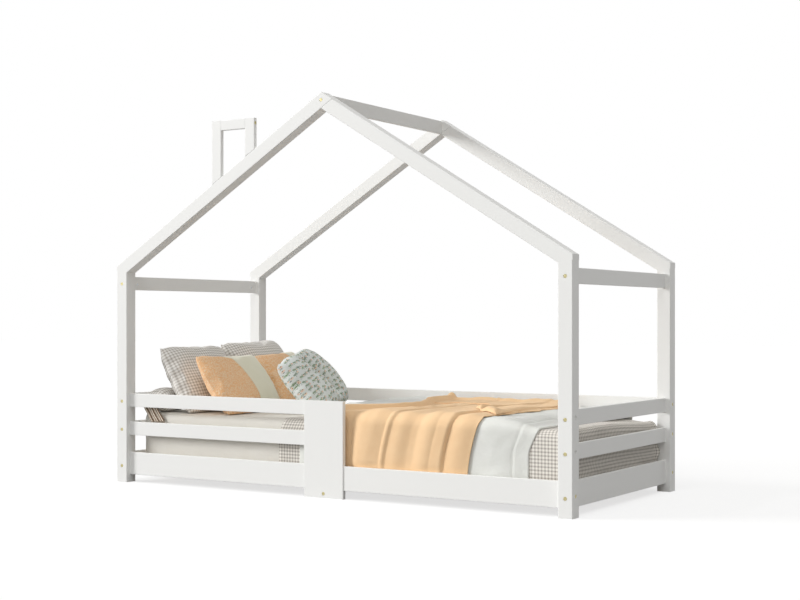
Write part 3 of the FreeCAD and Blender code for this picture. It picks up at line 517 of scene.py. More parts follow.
def sheet_creases(spot, place):
    """The top dips a little between its edges. Tucks run up from the elastic at the lower corners."""
    low = rise(TOP - place.z, 40 * MM, 190 * MM)
    near = min(abs(place.x - MATTRESS_LOW.x), abs(place.x - MATTRESS_HIGH.x))
    tuck = math.sin(spot.x / (9 * MM)) * low * (1 - rise(near, 60 * MM, 260 * MM))
    return (-0.8 + 0.5 * ripple(place.x, place.y, place.z, 130 * MM, 1) + 0.6 * tuck) * MM


push(mattress, flat, sheet_creases)
sew(mattress)
in_edit_mode(mattress, lambda: bpy.ops.mesh.select_all(action="DESELECT"),
             lambda: bpy.ops.mesh.select_mode(type="EDGE"),
             lambda: bpy.ops.mesh.select_non_manifold(extend=False),
             lambda: bpy.ops.mesh.edge_face_add())
hand_in(mattress, SHEET_COTTON, "sheet_cotton", "mattress")

# %% [markdown]
# ## The checked blanket
# A thin gingham blanket lies over the foot half of the mattress and hangs down on three sides. It folds
# down as the sheet does, with two corners at the foot. At the foot end it has slipped into level ripples.
# Its edge near the head lies askew: on top it is further from the head than where it hangs.

# %% The blanket
BLANKET_LOW, BLANKET_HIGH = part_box("check_blanket")
CLOTH = 2.5 * MM  # the blanket's thickness
HEAD_SHIFT = 22 * MM  # how much further from the head its edge lies on top
BLANKET_BOX = (BLANKET_LOW.x, BLANKET_HIGH.x, BLANKET_LOW.y, BLANKET_HIGH.y, BLANKET_HIGH.z)
blanket = cover("check_blanket_cloth", BLANKET_BOX, BLANKET_HIGH.z - BLANKET_LOW.z, 11 * MM, ("foot",))


def blanket_place(p):
    """Over the mattress. The box starts a metre earlier, so that nothing falls down at the head edge."""
    place = fallen(p.x, p.y, (BLANKET_BOX[0] - 1,) + BLANKET_BOX[1:], FOAM_RIM + CLOTH, 30 * MM)
    if p.x < BLANKET_BOX[1]:
        near_edge = 1 - rise(p.x, BLANKET_BOX[0], 0.3)
        place.x += near_edge * (HEAD_SHIFT * rise(place.z, 0.225, 0.292) - 4 * MM)
    return settled(place)


def blanket_ripples(spot, place):
    """Level ripples down the foot end, a push outwards at its back corner, and soft waves on top."""
    foot = rise(place.x, BLANKET_HIGH.x - 25 * MM, BLANKET_HIGH.x - 2 * MM)
    sag = math.sin(place.z / (11 * MM) + 2.2 * ripple(place.y, 0, 0, 160 * MM, 4)) * 2.4
    top = rise(place.z, TOP - 4 * MM, TOP) * (1 - foot)
    foot += 1.5 * rise(place.y, 0.395, 0.42) * rise(place.x, 0.94, 0.965)
    wave = 1.2 + 1.2 * ripple(place.x, place.y, 0, 60 * MM, 3)
    return (foot * (6.0 + sag) + top * wave * rise(place.x, 0.84, 0.92)) * MM


flat = lay(blanket, blanket_place)
push(blanket, flat, blanket_ripples)
sew(blanket)
apply_modifier(blanket, "SOLIDIFY", thickness=CLOTH, offset=-1.0)
hand_in(blanket, GINGHAM, "check_cotton", "check_blanket")

# %% [markdown]
# ## The duvet
# The duvet is filled, thick on top and thin where it hangs between mattress and board. So it is a closed
# form: a flat slab whose upper and lower faces fold down over two different boxes and meet in a rounded
# edge. Its head edge lies askew. It thins out towards the foot, where it has a flat turned band with a
# stitched line where the filling starts.

# %% A slab of two faces


def slab(name, us, vs):
    """A flat closed form with two faces on one grid. Its upper face has z above 0.

    Solidify numbers its points the same way each run. Extrude doesn't, and then the simulation of a cushion
    creases it differently each time.
    """
    piece = flat_cloth(name, us, vs)
    apply_modifier(piece, "SOLIDIFY", thickness=1 * MM, offset=1.0)
    return piece


# %% The duvet's two boxes and its edge
DUVET_LOW, DUVET_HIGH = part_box("duvet")
UNDER = GAP * 2 + CLOTH
DUVET_OUTSIDE = (-9, 9, DUVET_LOW.y, DUVET_HIGH.y, DUVET_HIGH.z)
DUVET_INSIDE = (-9, 9, MATTRESS_LOW.y - UNDER, MATTRESS_HIGH.y + UNDER, TOP + UNDER)
DUVET_MIDDLE = 5 * MM  # across the bed
HALF_WIDE = DUVET_HIGH.y - DUVET_MIDDLE
HANG = DUVET_HIGH.z - DUVET_LOW.z
INNER_HANG = DUVET_INSIDE[4] - DUVET_LOW.z
DUVET_RIM = 42 * MM  # radius of its outer edges
HEAD_ROUND = 34 * MM  # how far its head edge is rounded
FOOT_TAPER = 125 * MM  # how far from its foot edge it thins
FOOT_BAND = 62 * MM
THROW_FROM, THROW_TO = 12 * MM, 664 * MM  # what the throw covers, along the bed


def duvet_place(p):
    """Between its inner and outer face, round at its head edge and thinning out towards the foot."""
    hang = min(max(abs(p.y - DUVET_MIDDLE) - HALF_WIDE, 0.0), HANG) / HANG
    half = (p.y - DUVET_MIDDLE) / HALF_WIDE
    v = min(max(half, -1.0), 1.0) * (DUVET_INSIDE[3] - DUVET_MIDDLE) + DUVET_MIDDLE
    v += math.copysign(hang * INNER_HANG, p.y)
    inner = fallen(p.x, v, DUVET_INSIDE, FOAM_RIM, FOAM_RIM)
    outer = fallen(p.x, p.y, DUVET_OUTSIDE, DUVET_RIM, DUVET_RIM)
    edge = min((p.x - DUVET_LOW.x) / HEAD_ROUND, 1.0)
    full = math.sqrt(max(1 - (1 - edge) ** 2, 0.0))
    full *= 0.04 + 0.96 * rise(DUVET_HIGH.x - p.x, 0.0, FOOT_TAPER)
    place = inner.lerp(outer, 0.16 + 0.84 * full) if p.z > 0 else inner
    reach = rise(place.z, 0.2, 0.31)
    foot = rise(p.x, 0.55, DUVET_HIGH.x)
    head = 1 - rise(p.x, DUVET_LOW.x, 0.15)
    askew = 38 * MM * reach - 14 * MM + 6 * MM * ripple(0, p.y, 0, 0.2, 9)
    place.x += foot * (36 * MM * reach - 2 * MM) + head * askew
    place.x -= head * 58 * MM * reach * rise(p.y, -0.3, 0.02)
    return place


def pressed(x):
    """How far the bedding is pushed in beside the fence panel, in millimetres."""
    return 6.5 * (1 - rise(x, 115 * MM, 220 * MM))


def throw_drift(y):
    """How far the throw's left edge swings towards the foot between the front board and the back."""
    return 150 * MM * rise(y, -0.40, -0.16) - 100 * MM * rise(y, -0.08, 0.25)


def duvet_creases(spot, place):
    """Soft humps of filling. Under the throw it is pressed a little flatter."""
    if spot.z == 0:
        return 0.0
    on_top = rise(place.z, DUVET_HIGH.z - 30 * MM, DUVET_HIGH.z - 4 * MM)
    covered = rise(place.x - throw_drift(place.y), THROW_FROM - 20 * MM, THROW_FROM + 10 * MM)
    covered *= 1 - rise(place.x, THROW_TO - 12 * MM, THROW_TO + 22 * MM)
    head = 1 - rise(spot.x, DUVET_LOW.x, 0.05)
    fluff = 13 * (1 - rise(place.x, 0.15, 0.35)) * rise(spot.x, DUVET_LOW.x, DUVET_LOW.x + 25 * MM)
    humps = 3.4 * ripple(place.x, place.y, place.z, 120 * MM, 5)
    humps += 2.0 * ripple(place.x, place.y * 2, 0, 46 * MM, 6)
    hang = 2.0 * ripple(place.x, 0, place.z * 0.6, 100 * MM, 7)
    hang += 1.1 * ripple(place.x, 0, place.z, 42 * MM, 17)
    slant = (place.x * 0.5 + place.y) / (26 * MM)
    folds = ridge(math.sin(slant + 3 * ripple(place.x, place.y, 0, 0.2, 8)), 1, 0.8)
    height = on_top * (humps + fluff + head * 4.5 * folds) + (1 - on_top) * hang
    stitch = ridge(spot.x, DUVET_HIGH.x - FOOT_BAND, 5 * MM)
    band = rise(spot.x, DUVET_HIGH.x - FOOT_BAND, DUVET_HIGH.x - FOOT_BAND + 8 * MM)
    height = height * (1 - 0.6 * band) - 3.0 * stitch + 0.8 * band
    return (height * (1 - covered) - covered * (2.0 + pressed(place.x) * (1 - on_top))) * MM


duvet_v = steps(DUVET_LOW.y - HANG, DUVET_LOW.y, 19, DUVET_HIGH.y, 78, DUVET_HIGH.y + HANG, 19)
duvet_u = steps(DUVET_LOW.x, DUVET_LOW.x + 36 * MM, 9, DUVET_HIGH.x - 80 * MM, 76, DUVET_HIGH.x, 16)
duvet = slab("washed_cotton_duvet", duvet_u, duvet_v)
flat = lay(duvet, duvet_place)
push(duvet, flat, duvet_creases)
hand_in(duvet, DUVET_COTTON, "duvet_cotton", "duvet")

# %% [markdown]
# ## The throw
# A soft fleece throw, folded double along its length, lies across the duvet. It comes up from behind the
# front board, rolls over the edge of the bed and runs to the back, where its end is folded over to the
# front again, further at the right than at the left. Its folds are the main thing to see, so they are
# modelled one by one: a broad swell, a pressed crease, a pleat that laps over its neighbour, a band near
# the right edge and a thick rolled edge at the left.

# %% Fleece
NAP = 2.2 * MM  # tufts of the nap, drawn coarse

FLEECE, tree, shader = finish("brushed peach fleece", roughness=0.95, sheen=0.35)
shader.inputs["Sheen Roughness"].default_value = 0.45
shader.inputs["Sheen Tint"].default_value = linear("#FBE3C4")
tone = two_tone(tree, uneven(tree, 34 * MM, 4.0), "#F6D3A8", "#F0C99B")
tree.links.new(tone, shader.inputs["Base Color"])
waves = raise_bumps(tree, shader, uneven(tree, 30 * MM, 2.0), 0.8 * MM)
raise_bumps(tree, shader, uneven(tree, NAP, 3.0), 0.35 * MM, waves)

# %% The throw's path over the bed
THROW_THICK = 3.6 * MM
THROW_FACE = DUVET_LOW.y - 0.6 * MM  # against the duvet's front
THROW_REST = DUVET_HIGH.z + 0.6 * MM  # on its top
THROW_BEND = 43 * MM  # radius over the edge of the bed
THROW_FOOT = DUVET_LOW.z
THROW_BACK = 392 * MM  # where it turns back
RISE_RUN = THROW_REST - THROW_BEND - THROW_FOOT
ARC_RUN = THROW_BEND * math.pi / 2
TOP_RUN = THROW_BACK - (THROW_FACE + THROW_BEND)
TURN_RADIUS = 9 * MM
TURN_RUN = TURN_RADIUS * math.pi
THROW_WIDE = 650 * MM


def throw_path(t, fold_back):
    """Place across the bed, height, and outward direction at a distance from the throw's front end."""
    if t < RISE_RUN:
        return THROW_FACE, THROW_FOOT + t, -1.0, 0.0
    t -= RISE_RUN
    if t < ARC_RUN:
        a = t / THROW_BEND
        return (THROW_FACE + THROW_BEND - THROW_BEND * math.cos(a),
                THROW_REST - THROW_BEND + THROW_BEND * math.sin(a), -math.cos(a), math.sin(a))
    t -= ARC_RUN
    if t < TOP_RUN:
        return THROW_FACE + THROW_BEND + t, THROW_REST, 0.0, 1.0
    t -= TOP_RUN
    if t < TURN_RUN:
        a = t / TURN_RADIUS
        return (THROW_BACK + TURN_RADIUS * math.sin(a), THROW_REST + TURN_RADIUS * (1 - math.cos(a)),
                math.sin(a) * 0.3, 1.0)
    t = (t - TURN_RUN) * fold_back
    return THROW_BACK - t, THROW_REST + TURN_RADIUS * 2, 0.0, 1.0


FOLD_OVER = 725 * MM  # how much cloth is folded over
FIRST_LAYER = RISE_RUN + ARC_RUN + TOP_RUN
THROW_RUN = FIRST_LAYER + TURN_RUN + FOLD_OVER

# %% The throw's folds
# Each row is a fold: how far its middle is from the throw's left edge, its half width and its height, in
# millimetres.
BROAD = ((192, 84, 12), (240, 50, 5))
CREASE = ((285, 14, 7.0), (280, 44, 3.5))
SWELL = ((468, 60, 13), (340, 52, 8))
BAND = ((598, 56, 7.5),)
ROLLED_EDGE = ((17, 30, 21),)


def folds_at(s, rows):
    """How far the folds of these rows stand out together."""
    return sum(height * ridge(s, middle, half) for middle, half, height in rows)


def throw_folds(s, z, y):
    """How far the throw stands out from the duvet, from its left edge s, in millimetres."""
    side = 1 - rise(z, THROW_REST - 40 * MM, THROW_REST - 4 * MM)
    s = s / MM
    pleat = 11 * rise(s, 440, 505) * (1 - rise(s, 537, 545))
    height = folds_at(s, BROAD) + folds_at(s, CREASE) + max(folds_at(s, SWELL), pleat) + folds_at(s, BAND)
    fade = 1 - 0.55 * rise(y, -0.3, 0.2)
    height = height * (side + (1 - side) * fade) + folds_at(s, ROLLED_EDGE) * (1 - side)
    behind_board = rise(z, 112 * MM, 152 * MM)
    return 1.2 + height * (0.16 + 0.84 * behind_board) - pressed(THROW_FROM + s * MM) * side


def rounded(distance, radius):
    """0 at an edge and 1 from radius on, along a quarter circle."""
    return math.sqrt(1 - (1 - min(max(distance / radius, 0.0), 1.0)) ** 2)


def fold_share(s):
    """How much of the folded end reaches forward: a third at the left, all of it at the right."""
    return 0.30 + 0.52 * rise(s, 0.36, 0.52) + 0.18 * rise(s, 0.48, 0.65)


def throw_place(p):
    """Where the throw's point s from its left edge and t from its front end lies."""
    s, t = p.x, p.y
    fold_back = fold_share(s)
    y, z, out_y, out_z = throw_path(t, fold_back)
    lean = 1 - min(max((z - THROW_FOOT) / (THROW_REST - THROW_FOOT), 0.0), 1.0) ** 1.7
    x = THROW_FROM + s - 52 * MM * lean * rise(s, 0.0, 0.2)
    x += throw_drift(y) * (1 - rise(s, 0.0, 0.40))
    out = throw_folds(s, z, y) * MM
    if t > FIRST_LAYER:
        over = (t - FIRST_LAYER - TURN_RUN) / FOLD_OVER
        x += 8 * MM * rise(s, 0.4, 0.65) * ripple(0, y, 0, 0.16, 15) - 2 * MM
        slant = (fold_share(s + MM) - fold_share(s - MM)) * FOLD_OVER / (2 * MM)
        end = (1 - over) * FOLD_OVER * fold_back / math.hypot(1, slant)
        full = 3 + 5 * rise(over, 0.1, 0.6) + 7 * ridge(end, 30 * MM, 48 * MM) * rise(s, 0.44, 0.60)
        full += 2.5 * ripple(x, y * 0.5, 0, 80 * MM, 12) + 1.5 * ripple(x, y, 0, 34 * MM, 16)
        full *= rounded(end, 18 * MM) * rounded(THROW_WIDE - s, 20 * MM) * rise(s, 0.38, 0.54)
        out += (full - 11 * rise(over * FOLD_OVER, 0.0, 90 * MM)) * MM
    elif z > THROW_REST - 6 * MM:
        wave = ripple(s * 0.5, y, 0, 52 * MM, 11)
        out += 2.2 * MM * max(wave, -0.6) * rise(y, -0.38, -0.2)
        x += 7 * MM * ripple(0, y, 0, 48 * MM, 13) * rise(s, 0.5, 0.65)
        x += 22 * MM * rise(y, -0.42, 0.1) * rise(s, 0.45, 0.65) * (1 - rise(y, 0.1, 0.38) * 0.8)
    return Vector((x, y + out_y * out, z + out_z * out))


throw_u = steps(0.0, THROW_WIDE, 130)
throw_t = steps(0.0, RISE_RUN, 26, RISE_RUN + ARC_RUN, 14, FIRST_LAYER, 110, FIRST_LAYER + TURN_RUN, 8,
                THROW_RUN, 110)
throw = flat_cloth("peach_throw", throw_u, throw_t)
lay(throw, throw_place)
apply_modifier(throw, "SOLIDIFY", thickness=THROW_THICK, offset=1.0)
apply_modifier(throw, "BEVEL", width=1.2 * MM, segments=2, limit_method="ANGLE", angle_limit=math.radians(60))
hand_in(throw, FLEECE, "peach_fleece", "throw")
print("throw cut to", round(THROW_WIDE, 3), "by", round(THROW_RUN, 3), "m, folded double")

# %% [markdown]
# ## Cushions
# A cushion cover is two flat panels sewn round their rim, and the filling swells it until the sides pull in
# between the corners. The cloth simulation does just that: a thin slab, already a little full, is put under
# pressure for some frames, and every point stays within a set distance of its start. After that it is brought
# to its real size, gets its creases, and is laid on the bed at its real lean.

# %% A cushion under pressure
PRESSURE = 3.0
STIFFNESS = 12.0
FRAMES = 22  # how long the cover fills
FARTHEST = 16 * MM  # how far a point may move meanwhile


def crowned(wide, tall, thick):
    """Gives each point of a flat slab the height of a filled cushion."""
    def place(p):
        a, b = abs(p.x) / (wide / 2), abs(p.y) / (tall / 2)
        full = (max(1 - a ** 2.6, 0.0) * max(1 - b ** 2.6, 0.0)) ** 0.55
        pull_x = 1 + 0.05 * (1 - b ** 4) * rise(a, 0.3, 1.0)
        pull_y = 1 + 0.05 * (1 - a ** 4) * rise(b, 0.3, 1.0)
        sign = 1 if p.z > 0 else -1
        return Vector((p.x * pull_x, p.y * pull_y, sign * (0.5 * MM + full * thick / 2)))
    return place


def puff(piece):
    """Swells a closed cover like a filled one."""
    start = [vertex.co.copy() for vertex in piece.data.vertices]
    modifier = piece.modifiers.new("filling", "CLOTH")
    settings = modifier.settings
    settings.quality = 6
    settings.mass = 0.25
    settings.tension_stiffness = settings.compression_stiffness = STIFFNESS
    settings.shear_stiffness = STIFFNESS / 2
    settings.bending_stiffness = 0.4
    settings.use_pressure = True
    settings.uniform_pressure_force = PRESSURE
    settings.effector_weights.gravity = 0
    modifier.collision_settings.use_collision = False
    modifier.point_cache.frame_start, modifier.point_cache.frame_end = 1, FRAMES
    for frame_number in range(1, FRAMES + 1):
        bpy.context.scene.frame_set(frame_number)
    swollen = piece.evaluated_get(bpy.context.evaluated_depsgraph_get()).data
    places = [vertex.co.copy() for vertex in swollen.vertices]
    piece.modifiers.remove(modifier)
    bpy.context.scene.frame_set(1)
    for vertex, old, new in zip(piece.data.vertices, start, places):
        moved = new - old
        if moved.length > FARTHEST:
            moved *= FARTHEST / moved.length
        vertex.co = old + moved
    piece.data.update()


def brought_to(piece, size):
    """Scales a piece about its middle to an exact size."""
    low, high = extent(piece)
    middle, span = (low + high) / 2, high - low
    for vertex in piece.data.vertices:
        vertex.co = Vector([(vertex.co[k] - middle[k]) * size[k] / span[k] for k in range(3)])
    piece.data.update()


# %% One cushion from its size, its lean and what it lies on
SINK = 6 * MM  # how far a cushion's lower edge is pressed down
SPREAD = 9 * MM  # how high above its ground the press is felt


def cushion(name, wide, tall, thick, detail=None, cell=9 * MM):
    """A filled cover that lies flat at the origin. Its top edge is at -X and its upper face at +Z."""
    us = steps(-wide / 2, wide / 2, round(wide / cell))
    vs = steps(-tall / 2, tall / 2, round(tall / cell))
    piece = slab(name, us, vs)
    flat = lay(piece, crowned(wide, tall, thick * 0.8))
    puff(piece)
    brought_to(piece, (wide, tall, thick))
    if detail is not None:
        push(piece, flat, detail)
    apply_modifier(piece, "SUBSURF", levels=1, render_levels=1)
    return piece


def put_down(piece, turn, lean, where, across, ground):
    """Turns a cushion, leans it back and lets it down so that its lower edge spreads on what is under it."""
    turned = Matrix.Rotation(math.radians(turn), 4, "Z")
    piece.data.transform(Matrix.Rotation(math.radians(lean), 4, "Y") @ turned)
    shift = Vector((MATTRESS_LOW.x + where, across, ground + GAP - SINK - extent(piece)[0].z))
    for vertex in piece.data.vertices:
        vertex.co += shift
        sunk = ground + GAP + SPREAD - vertex.co.z
        if sunk > 0:
            vertex.co.z = ground + GAP + SPREAD * math.exp(-sunk / SPREAD) * 0.98
    piece.data.update()


def ears(amount, size, seed):
    """Creases that run in from the corners, and slight humps in the filling."""
    def detail(spot, place):
        a, b = abs(spot.x) / (size[0] / 2), abs(spot.y) / (size[1] / 2)
        corner = rise(a, 0.45, 0.95) * rise(b, 0.45, 0.95)
        edge = rise(max(a, b), 0.6, 0.98)
        turn = math.atan2(spot.y * size[0] / size[1], spot.x)
        rays = math.sin(turn * 17 + seed + 2 * ripple(spot.x, spot.y, 0, 90 * MM, seed))
        humps = ripple(spot.x, spot.y, spot.z * 40, 75 * MM, seed)
        along_edge = 1.3 * rays * edge * (1 - corner) * 0.6
        return amount * (1.5 * humps * (1 - edge) + along_edge + 1.6 * corner * rays) * MM
    return detail


def on_mattress(name, sizes, turn, lean, crease, seed):
    """A cushion on the mattress. Its sizes are the cover's width and height, its thickness, how far it is
    from the head end and its middle across the bed, in millimetres. Turn and lean are in degrees."""
    wide, tall, thick, where, across = (size * MM for size in sizes)
    piece = cushion(name + "_cover", wide, tall, thick, ears(crease, (wide, tall), seed))
    put_down(piece, turn, lean, where, across, TOP)
    return piece


# %% The gingham pillows: sizes, turn and lean
CHECKED = {
    "pillow_check_front": ((325, 408, 125, 153, -201), 0, 59),
    "pillow_check_back": ((332, 420, 125, 147, 222), 2, 60),
    "pillow_check_small": ((120, 210, 110, 55, -327), 0, 0),
}
for seed, (name, row) in enumerate(CHECKED.items(), start=1):
    piece = on_mattress(name, *row, 2.3, seed)
    hand_in(piece, PILLOW_GINGHAM_PAINTED_LIGHTER, "check_cotton", name)

# %% [markdown]
# ## The two-coloured cushions
# The front panel is sewn from two cloths along a curved seam: a peach knit with small pebbles, and a smooth
# sage satin. One material holds both, because the seam is a line on the flat panel. The pebbles are domes of
# a Voronoi pattern, with painted shade between them and a painted highlight on top, and the satin has less
# bump and more gloss.

# %% Pebble knit beside satin
PEBBLE = 5.5 * MM
HALF_TALL = 0.15  # half a cushion's height in metres, where the seam meets its edge


def peach_and_sage(name, seam_top, seam_bottom, curve):
    """The seam crosses the cushion's edges seam_top and seam_bottom from its middle, and bows by curve."""
    material, tree, shader = finish(name, roughness=0.8, sheen=0.2)
    flat = add(tree, "TexCoord").outputs["UV"]
    parts = add(tree, "SeparateXYZ", {"Vector": flat})
    down = add(tree, "MapRange", {"Value": parts.outputs["X"], 1: -HALF_TALL, 2: HALF_TALL, 3: seam_top,
                                  4: seam_bottom}, clamp=False).outputs[0]
    square = add(tree, "Math", {0: parts.outputs["X"], 1: 2.0}, operation="POWER").outputs[0]
    bow = add(tree, "Math", {0: square, 1: -curve / HALF_TALL ** 2, 2: curve},
              operation="MULTIPLY_ADD").outputs[0]
    seam = add(tree, "Math", {0: down, 1: bow}, operation="ADD").outputs[0]
    past = add(tree, "Math", {0: parts.outputs["Y"], 1: seam}, operation="SUBTRACT").outputs[0]
    satin = add(tree, "MapRange", {"Value": past, 1: -0.8 * MM, 2: 0.8 * MM}).outputs[0]
    pebbles = add(tree, "TexVoronoi", {"Vector": flat, "Scale": 1 / PEBBLE, "Randomness": 0.7}, feature="F1")
    dome_and_painted_shade = add(tree, "MapRange", {"Value": pebbles.outputs["Distance"], 1: 0.6, 2: 0.1}).outputs[0]
    # Painted shade and highlight: the knit's colour is darker between the pebbles and lighter on their tops,
    # as light on domes would fall.
    peach = two_tone(tree, dome_and_painted_shade, "#F2BF8B", "#FFEACD")
    sage = two_tone(tree, uneven(tree, 45 * MM), "#EAE6D0", "#E0DCC2")
    tree.links.new(two_tone(tree, satin, peach, sage), shader.inputs["Base Color"])
    gloss = add(tree, "MapRange", {"Value": satin, 3: 0.85, 4: 0.45})
    tree.links.new(gloss.outputs[0], shader.inputs["Roughness"])
    knit = add(tree, "Math", {0: satin, 1: -1.0, 2: 1.0}, operation="MULTIPLY_ADD").outputs[0]
    height = add(tree, "Math", {0: dome_and_painted_shade, 1: knit}, operation="MULTIPLY").outputs[0]
    pebbled = raise_bumps(tree, shader, height, 1.6 * MM)
    line = add(tree, "MapRange", {"Value": add(tree, "Math", {0: past}, operation="ABSOLUTE").outputs[0],
                                  1: 0.0, 2: 3 * MM}).outputs[0]
    raise_bumps(tree, shader, line, 1.6 * MM, pebbled)
    return material


# %% The two-coloured cushions: sizes, turn, lean and cloth
SEAM_LEFT = peach_and_sage("peach pebble knit and sage satin", -0.062, 0.006, 0.034)
SEAM_RIGHT = peach_and_sage("peach pebble knit and sage satin, wide", 0.02, 0.09, 0.02)
TWO_COLOURED = {
    "pillow_colour_front": ((300, 393, 112, 345, -199.5), 0, 54, SEAM_LEFT),
    "pillow_colour_back": ((300, 334, 108, 333, 175), 4, 50, SEAM_RIGHT),
}
for seed, (name, (*row, cloth)) in enumerate(TWO_COLOURED.items(), start=5):
    piece = on_mattress(name, *row, 1.1, seed)
    hand_in(piece, cloth, "peach_and_sage_cotton", name)

# %% [markdown]
# ## The sprigged cushion
# The cushion nearest the foot has a pale cotton cover with small sprigs of leaves, berries and blossoms. The
# print is made from scattered cells: each cell of a Voronoi pattern holds one sprig, turned its own way and
# built from ellipses for the leaves and dots for the berries. A fold runs down its middle.

# %% A print of small sprigs
SPRIG = 21 * MM  # distance between sprigs

SPRIGGED, tree, shader = finish("cotton printed with sprigs", roughness=0.85, sheen=0.15)
flat = add(tree, "TexCoord").outputs["UV"]
cells = add(tree, "TexVoronoi", {"Vector": flat, "Scale": 1 / SPRIG, "Randomness": 0.55}, feature="F1",
            voronoi_dimensions="2D")
scaled, centre = (add(tree, "VectorMath", {0: place, 1: (1 / SPRIG,) * 3}, operation="MULTIPLY").outputs[0]
                  for place in (flat, cells.outputs["Position"]))
own = add(tree, "VectorMath", {0: scaled, 1: centre}, operation="SUBTRACT").outputs[0]
hue = add(tree, "SeparateColor", {0: cells.outputs["Color"]})
turn = add(tree, "MapRange", {"Value": hue.outputs[0], 3: -0.9, 4: 0.9}).outputs[0]
turned = add(tree, "VectorRotate", {"Vector": own, "Angle": turn}, rotation_type="Z_AXIS").outputs[0]

def blob(x, y, long, short, angle):
    """1 inside an ellipse of the sprig. A sprig's cell is about 1 wide, and angle is in degrees."""
    put = add(tree, "Mapping", {"Vector": turned, "Location": (x, y, 0), "Scale": (long, short, 1),
                                "Rotation": (0, 0, math.radians(angle))}, vector_type="TEXTURE").outputs[0]
    far = add(tree, "VectorMath", {0: put}, operation="LENGTH").outputs["Value"]
    return add(tree, "MapRange", {"Value": far, 1: 1.1, 2: 0.9}).outputs[0]

def together(shapes):
    whole = shapes[0]
    for shape in shapes[1:]:
        whole = add(tree, "Math", {0: whole, 1: shape}, operation="MAXIMUM").outputs[0]
    return whole

leaves = together([blob(x * 0.1, -0.3 + 0.14 * k, 0.125, 0.042, 38 if x > 0 else 142)
                   for k in range(4) for x in (-1, 1)] + [blob(0, -0.12, 0.012, 0.3, 0)])
small = together([blob(-0.3, 0.12, 0.1, 0.035, 70), blob(0.31, -0.05, 0.1, 0.035, 110)])
berries = together([blob(x, y, size, size, 0)
                    for x, y, size in ((-0.16, 0.3, 0.065), (0.27, 0.24, 0.06), (0.36, -0.3, 0.055))])
blossom = together([blob(0.1 * math.cos(a), 0.34 + 0.1 * math.sin(a), 0.05, 0.05, 0)
                    for a in (0.3, 1.56, 2.8, 4.1, 5.4)])
ground = two_tone(tree, uneven(tree, 50 * MM), "#E4E8E6", "#D8DEDB")
green = two_tone(tree, hue.outputs[1], "#3F5F3C", "#6E8C55")
warm = two_tone(tree, hue.outputs[2], "#E9A06A", "#E8C48E")
for shape, dye in ((leaves, green), (small, "#7FA28A"), (berries, "#2B2D29"), (blossom, warm)):
    ground = two_tone(tree, shape, ground, dye)
woven(tree, shader, ground, 20 * MM, 1.0 * MM)
print("sprigs every", round(SPRIG / MM), "mm")

# %% The sprigged cushion with its fold


def middle_fold(spot, place):
    """A fold down the middle of the cover with a dent beside it, and ears at the corners."""
    upper = spot.z > 0
    line = 22 * MM * math.sin(spot.x * 14) + 6 * MM
    depth = 28 * ridge(spot.y, line, 20 * MM) + 16 * ridge(spot.y, line, 60 * MM)
    depth += 10 * ridge(spot.x, -20 * MM, 34 * MM) * ridge(spot.y, line - 60 * MM, 90 * MM)
    depth *= rise(0.13 - abs(spot.x), 0.0, 0.05)
    swell = 5 * (ridge(spot.y, line + 66 * MM, 60 * MM) + ridge(spot.y, line - 66 * MM, 60 * MM))
    return ears(1.6, (0.27, 0.27), 9)(spot, place) + (upper * (swell - depth)) * MM


SPRIGGED_SIDE = 282 * MM
floral = cushion("pillow_sprigged_cover", SPRIGGED_SIDE, SPRIGGED_SIDE, 150 * MM, middle_fold, cell=8 * MM)
put_down(floral, 15, 51, 653 * MM, -104 * MM, TOP + GAP + CLOTH)
hand_in(floral, SPRIGGED, "floral_cotton", "pillow_floral")

# %% [markdown]
# ## The small striped cloth
# A small cloth with brown stripes and a fringe is tucked in between the pillows and the fence, and its end
# hangs over the edge of the mattress. It is a flat strip laid in soft pleats, with a fringe of loose threads.

# %% Striped cotton and its fringe

STRIPED, tree, shader = finish("yarn-dyed striped cotton", roughness=0.92, sheen=0.1)
across = flat_axes(tree)[1]
wide, thin = stripes(tree, across, 15 * MM, 0.42), stripes(tree, across, 5 * MM, 0.3)
pale = two_tone(tree, thin, "#E9E1D6", "#C7AE90")
tree.links.new(two_tone(tree, wide, pale, "#6E543C"), shader.inputs["Base Color"])
weave(tree, shader, 0.2 * MM)
STRIP_LOW, STRIP_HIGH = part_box("striped_cloth")
STRIP_LONG, STRIP_WIDE = 84 * MM, 78 * MM
strip = flat_cloth("striped_cloth_strip", steps(0.0, STRIP_LONG, 24), steps(0.0, STRIP_WIDE, 26))


def strip_place(p):
    """u runs down the strip and v across it."""
    down, side = p.x / STRIP_LONG, p.y / STRIP_WIDE
    x = STRIP_LOW.x + 2 * MM + 46 * MM * down + 74 * MM * side
    z = STRIP_HIGH.z - 1 * MM - 66 * MM * down + 4 * MM * side
    pleat = math.sin(side * 15) * 2.4 * MM + 1.2 * MM * ripple(down, side, 0, 0.4, 14)
    return Vector((x, STRIP_HIGH.y - 5.5 * MM - pleat, z))


lay(strip, strip_place)
apply_modifier(strip, "SOLIDIFY", thickness=1.2 * MM, offset=0.0)
hand_in(strip, STRIPED, "striped_cotton", "striped_cloth")

